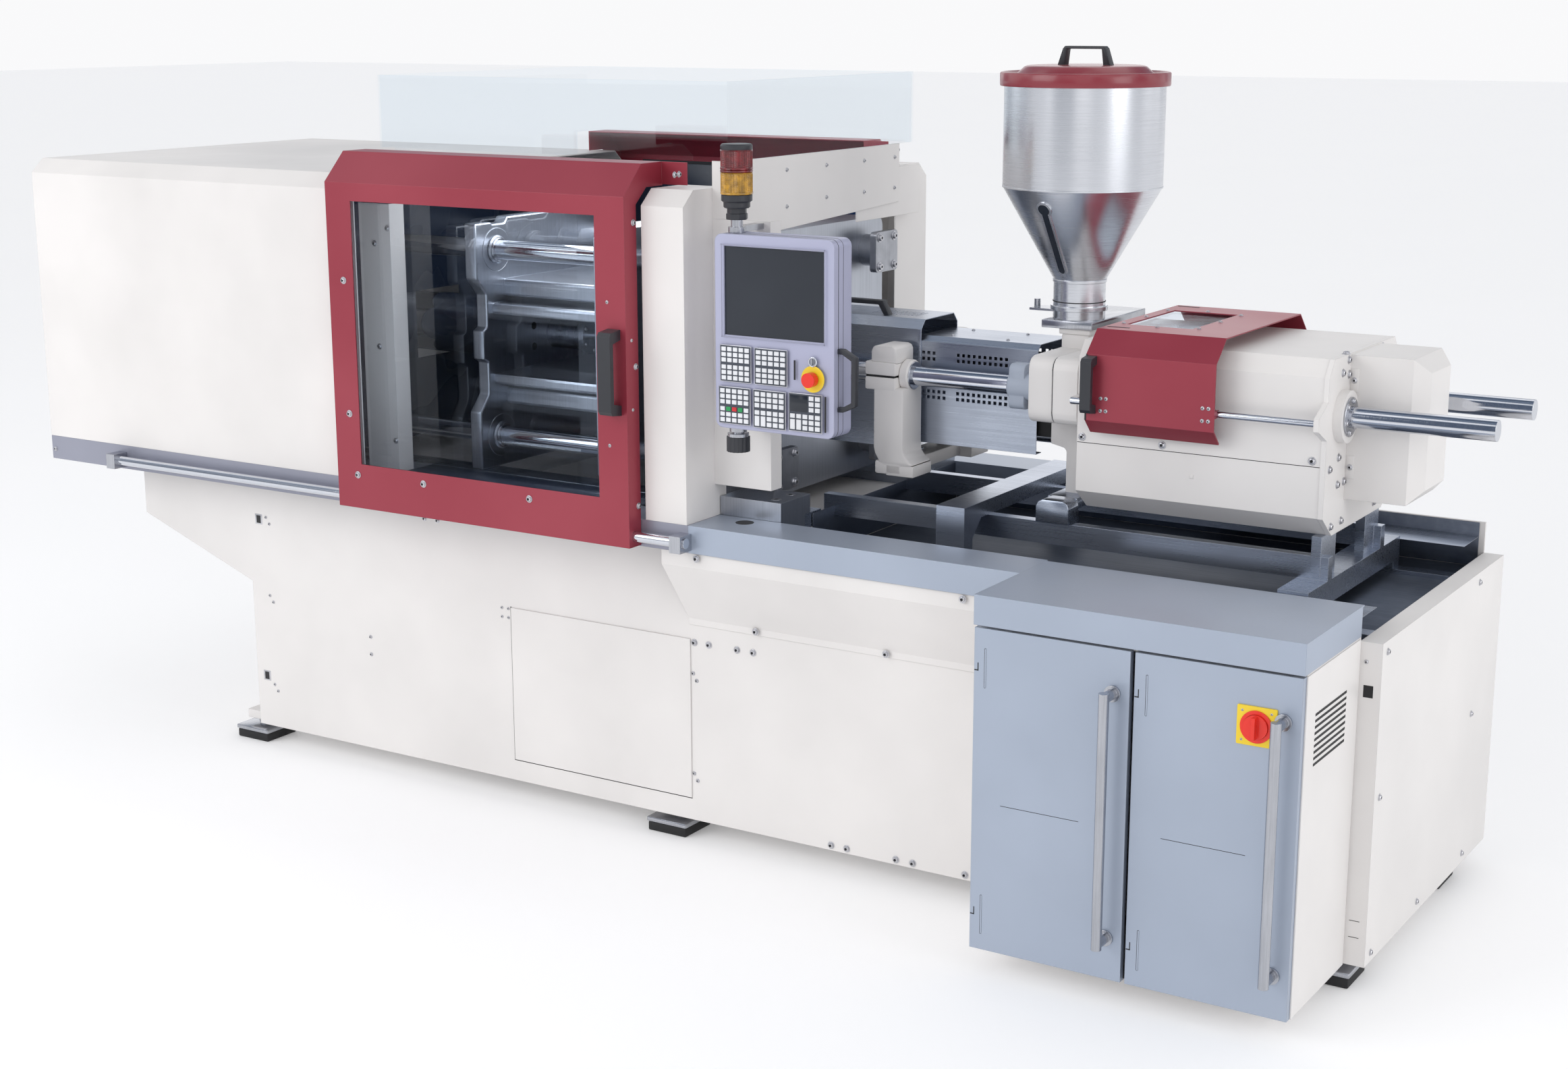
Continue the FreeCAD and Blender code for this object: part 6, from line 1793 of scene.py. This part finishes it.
@dataclass
class HopperFittings:
    """Sight glass, weld rings, flange, gate details and the lid with its handle."""

    x: float = 1.030

    def build(self) -> None:
        """Build the trims and the lid."""
        self.trims()
        self.lid()

    def trims(self) -> None:
        """Rings on the shell and the slotted sight glass on the cone."""
        at = (self.x, CENTRE_Y, 0.0)
        trims = Solid("hopper_trims", "hopper", "hopper_sheet")
        trims.ring((*at[:2], 1.7555), Axis.Z, 0.005, 0.2003, 0.2012, STAINLESS, 0.0004, 96)
        trims.ring((*at[:2], 1.518), Axis.Z, 0.008, 0.0655, 0.0685, STAINLESS, 0.001, 64)
        trims.ring((*at[:2], 1.4685), Axis.Z, 0.0025, 0.0655, 0.0672, SEAM, 0.0, 64)
        trims.ring((*at[:2], 1.4475), Axis.Z, 0.012, 0.0655, 0.0725, STAINLESS, 0.001, 64)
        self.sight_glass(trims)
        trims.finish()

    def sight_glass(self, trims: Solid) -> None:
        """Raised keyhole-shaped frame with a dark glass, lying on the cone's slope.

        Args:
            trims: The piece that takes it.
        """
        cone_low, cone_high = 1.524, 1.758
        r_low, r_high = 0.066, 0.2005
        slope = math.atan2(r_high - r_low, cone_high - cone_low)
        length = math.hypot(r_high - r_low, cone_high - cone_low)
        azimuth = math.radians(-97.0)
        foot = Vector((self.x + r_low * math.cos(azimuth), CENTRE_Y + r_low * math.sin(azimuth),
                       cone_low))
        out = Vector((math.cos(azimuth), math.sin(azimuth), 0.0))
        up = (out * math.sin(slope) + Vector((0, 0, 1)) * math.cos(slope)).normalized()
        side = up.cross(Vector((0, 0, 1))).normalized()
        normal = side.cross(up).normalized()
        if normal.dot(out) < 0:
            normal, side = -normal, -side
        frame_at = Matrix((
            (side.x, up.x, normal.x, foot.x), (side.y, up.y, normal.y, foot.y),
            (side.z, up.z, normal.z, foot.z), (0, 0, 0, 1)))
        start, end = 0.13 * length, 0.80 * length
        for grow, base, top, finish in ((0.0055, -0.004, 0.0030, STAINLESS),
                                        (0.0, 0.0, 0.0036, SCREEN)):
            outline = self.keyhole(start, end, 0.0085 + grow, 0.0155 + grow)
            shape = drawn_out([(u, v, base) for u, v in outline], (0, 0, top - base))
            trims.join(shape, finish, frame_at)

    def keyhole(self, start: float, end: float, narrow: float, wide: float) -> list[Flat]:
        """Outline of a slot whose upper end is a larger circle.

        Args:
            start: Middle of the lower end.
            end: Middle of the circle.
            narrow: Half the slot's width.
            wide: Radius of the circle.

        Returns:
            The outline's points.
        """
        points = [(narrow * math.cos(math.radians(a)), start + narrow * math.sin(math.radians(a)))
                  for a in range(180, 361, 15)]
        throat = math.degrees(math.asin(narrow / wide))
        turn = 360 - 2 * throat
        points += [(wide * math.sin(math.radians(180 - throat - turn * k / 20)),
                    end + wide * math.cos(math.radians(180 - throat - turn * k / 20)))
                   for k in range(21)]
        return points

    def lid(self) -> None:
        """Pressed lid with a rolled rim and a black strap handle."""
        box = Span.of("hopper_lid")
        rim, top = 0.2115, box.high.z
        lid = Solid("hopper_lid_detail", "lid", "red_lid_paint")
        lid.turned((self.x, CENTRE_Y, 0.0), Axis.Z,
                   [(0.2085, box.low.z), (rim - 0.001, box.low.z), (rim, box.low.z + 0.004),
                    (rim, 2.036), (rim - 0.002, 2.039), (rim - 0.005, 2.040), (rim - 0.010, 2.038),
                    (rim - 0.016, 2.034), (0.172, 2.034), (0.152, 2.052), (0.146, 2.0545),
                    (0.140, 2.0556), (0.0, 2.056)], LID, 96)
        y = CENTRE_Y
        outline = [(self.x - 0.072, 2.0545), (self.x - 0.058, top - 0.006),
                   (self.x - 0.052, top), (self.x + 0.052, top), (self.x + 0.058, top - 0.006),
                   (self.x + 0.072, 2.0545), (self.x + 0.052, 2.0545),
                   (self.x + 0.047, top - 0.007), (self.x - 0.047, top - 0.007),
                   (self.x - 0.052, 2.0545)]
        lid.prism(outline, Axis.Y, y - 0.012, y + 0.012, BLACK, 0.0012)
        lid.finish(replaces=["hopper_lid"])


@dataclass
class DriveCoverFittings:
    """Screws, hems, slots and the top pane of the sliding red cover."""

    def build(self) -> None:
        """Build the fittings."""
        box = Span.of("drive_cover")
        front, top = box.low.y, box.high.z
        fittings = Solid("drive_cover_screws", "sliding_cover", "zinc_screw")
        for x in (1.236, 1.250, 1.496, 1.511):
            for z in (1.281, 1.251):
                fittings.screw((x, front, z), Axis.FRONT, 0.0036)
        for x, y in ((1.215, -0.020), (1.215, 0.118), (1.215, 0.256), (1.411, -0.020),
                     (1.411, 0.118), (1.411, 0.256), (1.313, -0.044), (1.313, 0.280)):
            fittings.screw((x, y, top), Axis.Z, 0.0045)
        fittings.finish()
        dark = Solid("drive_cover_slots", "sliding_cover", "black_moulding")
        # Near-black fill in the two slots: painted shade.
        for y in (-0.092, 0.348):
            dark.block((1.205, y - 0.0035, top - 0.001), (1.262, y + 0.0035, top + 0.0005), RECESS_SHADE)
        dark.block((box.low.x - 0.0004, front - 0.0004, 1.2255), (box.low.x + 0.004, front + 0.001,
                                                                 1.386), SEAM)
        dark.finish()
        pane = Solid("drive_cover_pane", "sliding_cover", "clear_sheet")
        pane.block((1.222, CENTRE_Y - 0.156, top - 0.0075), (1.404, CENTRE_Y + 0.156, top - 0.0035),
                   PANE, 0.0006)
        pane.finish()


@dataclass
class HousingFittings:
    """Screws, seams, chrome guide rods and bolt rings round the drive housing."""

    def build(self) -> None:
        """Build the fittings."""
        housing = Span.of("drive_housing")
        front = CENTRE_Y - HOUSING_HALF
        screws = Solid("housing_screws", "injection_unit", "zinc_screw")
        for x in (1.163, 1.373, 1.746):
            for side, axis in ((-1, Axis.FRONT), (1, Axis.Y)):
                screws.screw((x, CENTRE_Y + side * HOUSING_HALF, 1.171), axis, 0.0075)
        face = PLATE_X
        for y, z in ((-0.006, 1.394), (-0.044, 1.368), (0.000, 1.359), (-0.045, 1.168),
                     (-0.105, 1.149), (-0.044, 1.103), (0.001, 1.103), (-0.004, 1.009),
                     (-0.077, 1.008)):
            for where in (y, 2 * CENTRE_Y - y):
                screws.screw((face, where, z), Axis.X, 0.0075)
        for side in (-1, 1):
            y, z = CENTRE_Y + side * ROD_Y, AXIS_Z
            screws.ring((face, y, z), Axis.X, 0.006, 0.026, 0.0555, TURNED, 0.001, 48)
            screws.ring((face + 0.0205, y, z), Axis.X, 0.005, 0.0253, 0.047, TURNED, 0.001, 48)
            for k in range(6):
                a = math.radians(60 * k + 15)
                screws.screw((face + 0.0255, y + 0.0375 * math.cos(a), z + 0.0375 * math.sin(a)),
                             Axis.X, 0.0058)
        screws.screw((1.772, -0.006, housing.high.z), Axis.Z, 0.008)
        screws.finish()
        rods = Solid("cover_guide_rods", "injection_unit", "ground_bar")
        for side in (-1, 1):
            rods.rod((1.1495, CENTRE_Y + side * 0.290, AXIS_Z), Axis.X, 0.616, 0.0083, CHROME, 0.0,
                     24)
        rods.finish()
        seams = Solid("housing_seams", "injection_unit", "black_moulding")
        for side in (-1, 1):
            y = CENTRE_Y + side * HOUSING_HALF
            seams.block((1.150, y - 0.0005, 1.1565), (1.765, y + 0.0005, 1.1580), SEAM)
            seams.block((1.446, y - 0.0008, 1.097), (1.456, y + 0.0008, 1.107), WHITE, 0.0003)
        # Near-black slanted strip at the housing's front edge: painted shade.
        seams.prism([(front + 0.0005, 1.22), (front + 0.0005, 1.366), (front + 0.032, 1.4065),
                     (front + 0.038, 1.4065), (front + 0.006, 1.366), (front + 0.006, 1.22)],
                    Axis.X, 1.7655, 1.7665, RECESS_SHADE)
        seams.finish()
        motor = Solid("motor_cover_latches", "injection_unit", "zinc_screw")
        cover = Span.of("motor_cover")
        for z in (1.137, 1.344):
            for side in (-1, 1):
                y = cover.low.y if side < 0 else cover.high.y
                motor.block((1.781, y - 0.0006, z - 0.028), (1.800, y + 0.0006, z + 0.028), WHITE,
                            0.0004)
                motor.screw((1.790, y + side * 0.0006, z), Axis.FRONT if side < 0 else Axis.Y,
                            0.0055)
        motor.finish()
        ends = Solid("injection_rod_ends", "machine", "ground_bar")
        right = Span.of("injection_rods").high.x
        # Near-black discs in the rod ends: painted shade in their holes.
        for side in (-1, 1):
            for lift in (-0.008, 0.008):
                ends.rod((right - 0.0008, CENTRE_Y + side * ROD_Y, AXIS_Z + lift), Axis.X, 0.0007,
                         0.0038, RECESS_SHADE, 0.0, 16)
        ends.finish()


@dataclass
class CabinetFittings:
    """Pressed slots, hinges, switch plate and screws of the two cabinets."""

    def build(self) -> None:
        """Build the fittings."""
        self.door("left", "left_cabinet_door", "cabinet_door_left", 1.217, 1.194)
        self.door("right", "right_cabinet_door", "cabinet_door_right", 1.610, 1.586)
        self.switch_plate()
        self.ends()

    def door(self, name: str, body: str, node: str, slot_x: float, hinge_x: float) -> None:
        """Add one door's pressed slots, hinge notches and faint folds.

        Args:
            name: Prefix of its pieces.
            body: CAD body of the door.
            node: CAD node of the door.
            slot_x: Where its pressed slots stand.
            hinge_x: Where its hinge notches stand.
        """
        box = Span.of(node)
        face = box.low.y
        press = Solid(name + "_door_pressings", body, "blue_grey_paint")
        for low, high in ((0.694, 0.788), (0.098, 0.195)):
            outline = rounded((slot_x - 0.0024, low), (slot_x + 0.0024, high), 0.0023, 4)
            press.prism(outline, Axis.Y, face - 0.0004, face + 0.001, SEAM)
            outline = rounded((slot_x - 0.0013, low + 0.001), (slot_x + 0.0023, high - 0.001),
                              0.0012, 4)
            press.prism(outline, Axis.Y, face - 0.0007, face + 0.001, CABINET)
        for z in (0.740, 0.150):
            press.block((hinge_x - 0.004, face - 0.0006, z - 0.007),
                        (hinge_x + 0.006, face + 0.001, z - 0.0045), SEAM)
            press.block((hinge_x + 0.004, face - 0.0006, z - 0.007),
                        (hinge_x + 0.006, face + 0.001, z + 0.012), SEAM)
        x0, x1 = slot_x + 0.045, min(box.high.x - 0.06, slot_x + 0.24)
        press.block((x0, face - 0.0003, 0.4200), (x1, face + 0.001, 0.4212), SEAM)
        press.finish()

    def switch_plate(self) -> None:
        """Yellow plate and red ring round the main switch."""
        face = Span.of("cabinet_door_right").low.y
        plate = Solid("main_switch_plate", "right_cabinet_door", "switch_red")
        plate.prism(rounded((1.8186, 0.6705), (1.9078, 0.758), 0.003, 3), Axis.Y, face - 0.004,
                    face + 0.0004, YELLOW, 0.0008)
        plate.ring((1.863, face - 0.0040, 0.714), Axis.FRONT, 0.004, 0.0275, 0.036, STOP_RED,
                   0.0012, 48)
        for k in range(4):
            a = math.radians(45 + 90 * k)
            plate.screw((1.863 + 0.046 * math.cos(a), face - 0.004, 0.714 + 0.046 * math.sin(a)),
                        Axis.FRONT, 0.0022)
        plate.finish()

    def ends(self) -> None:
        """Screws, notches and vents on the end cabinet and the cabinet's sides."""
        side = Span.of("end_cabinet").high.x
        screws = Solid("end_cabinet_screws", "machine", "zinc_screw")
        for y, z in ((0.394, 0.802), (-0.334, 0.802), (0.395, 0.460), (-0.333, 0.460),
                     (0.396, 0.087), (0.018, 0.087), (-0.330, 0.084)):
            screws.screw((side, y, z), Axis.X, 0.0065)
        screws.screw((1.975, -0.370, 0.782), Axis.FRONT, 0.004)
        screws.finish()
        vents = Solid("cabinet_vents", "machine", "black_moulding")
        rear = Span.of("cabinet_body")
        # Near-black vent slots: painted shade.
        for k in range(9):
            z = 0.620 + 0.014 * k
            vents.block((rear.high.x - 0.0004, -0.66, z), (rear.high.x + 0.0006, -0.46, z + 0.006),
                        RECESS_SHADE)
        end = Span.of("end_cabinet")
        # Near-black opening in the end cabinet: painted shade.
        vents.block((end.low.x + 0.012, end.low.y - 0.0006, 0.700), (end.low.x + 0.034,
                                                                  end.low.y + 0.001, 0.728), RECESS_SHADE)
        for z in (0.128, 0.168):
            vents.block((end.low.x + 0.010, end.low.y - 0.0006, z), (end.low.x + 0.034,
                                                                    end.low.y + 0.001, z + 0.0012),
                        SEAM)
        vents.finish()


def main() -> None:
    """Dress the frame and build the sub-assemblies."""
    Studio().build()
    dress_nodes()
    for assembly in (LevellingFeet(), SignalLamp(), OperatorPanel(), BaseFittings(),
                     DoorFittings(), MovingPlaten(), ShadeSheetsAndDeck(), TiePlateBolts(), Castings(),
                     BarrelShrouds(), HopperFittings(), DriveCoverFittings(), HousingFittings(),
                     CabinetFittings()):
        log.info("building %s", type(assembly).__name__)
        assembly.build()


if __name__ == "__main__":
    main()
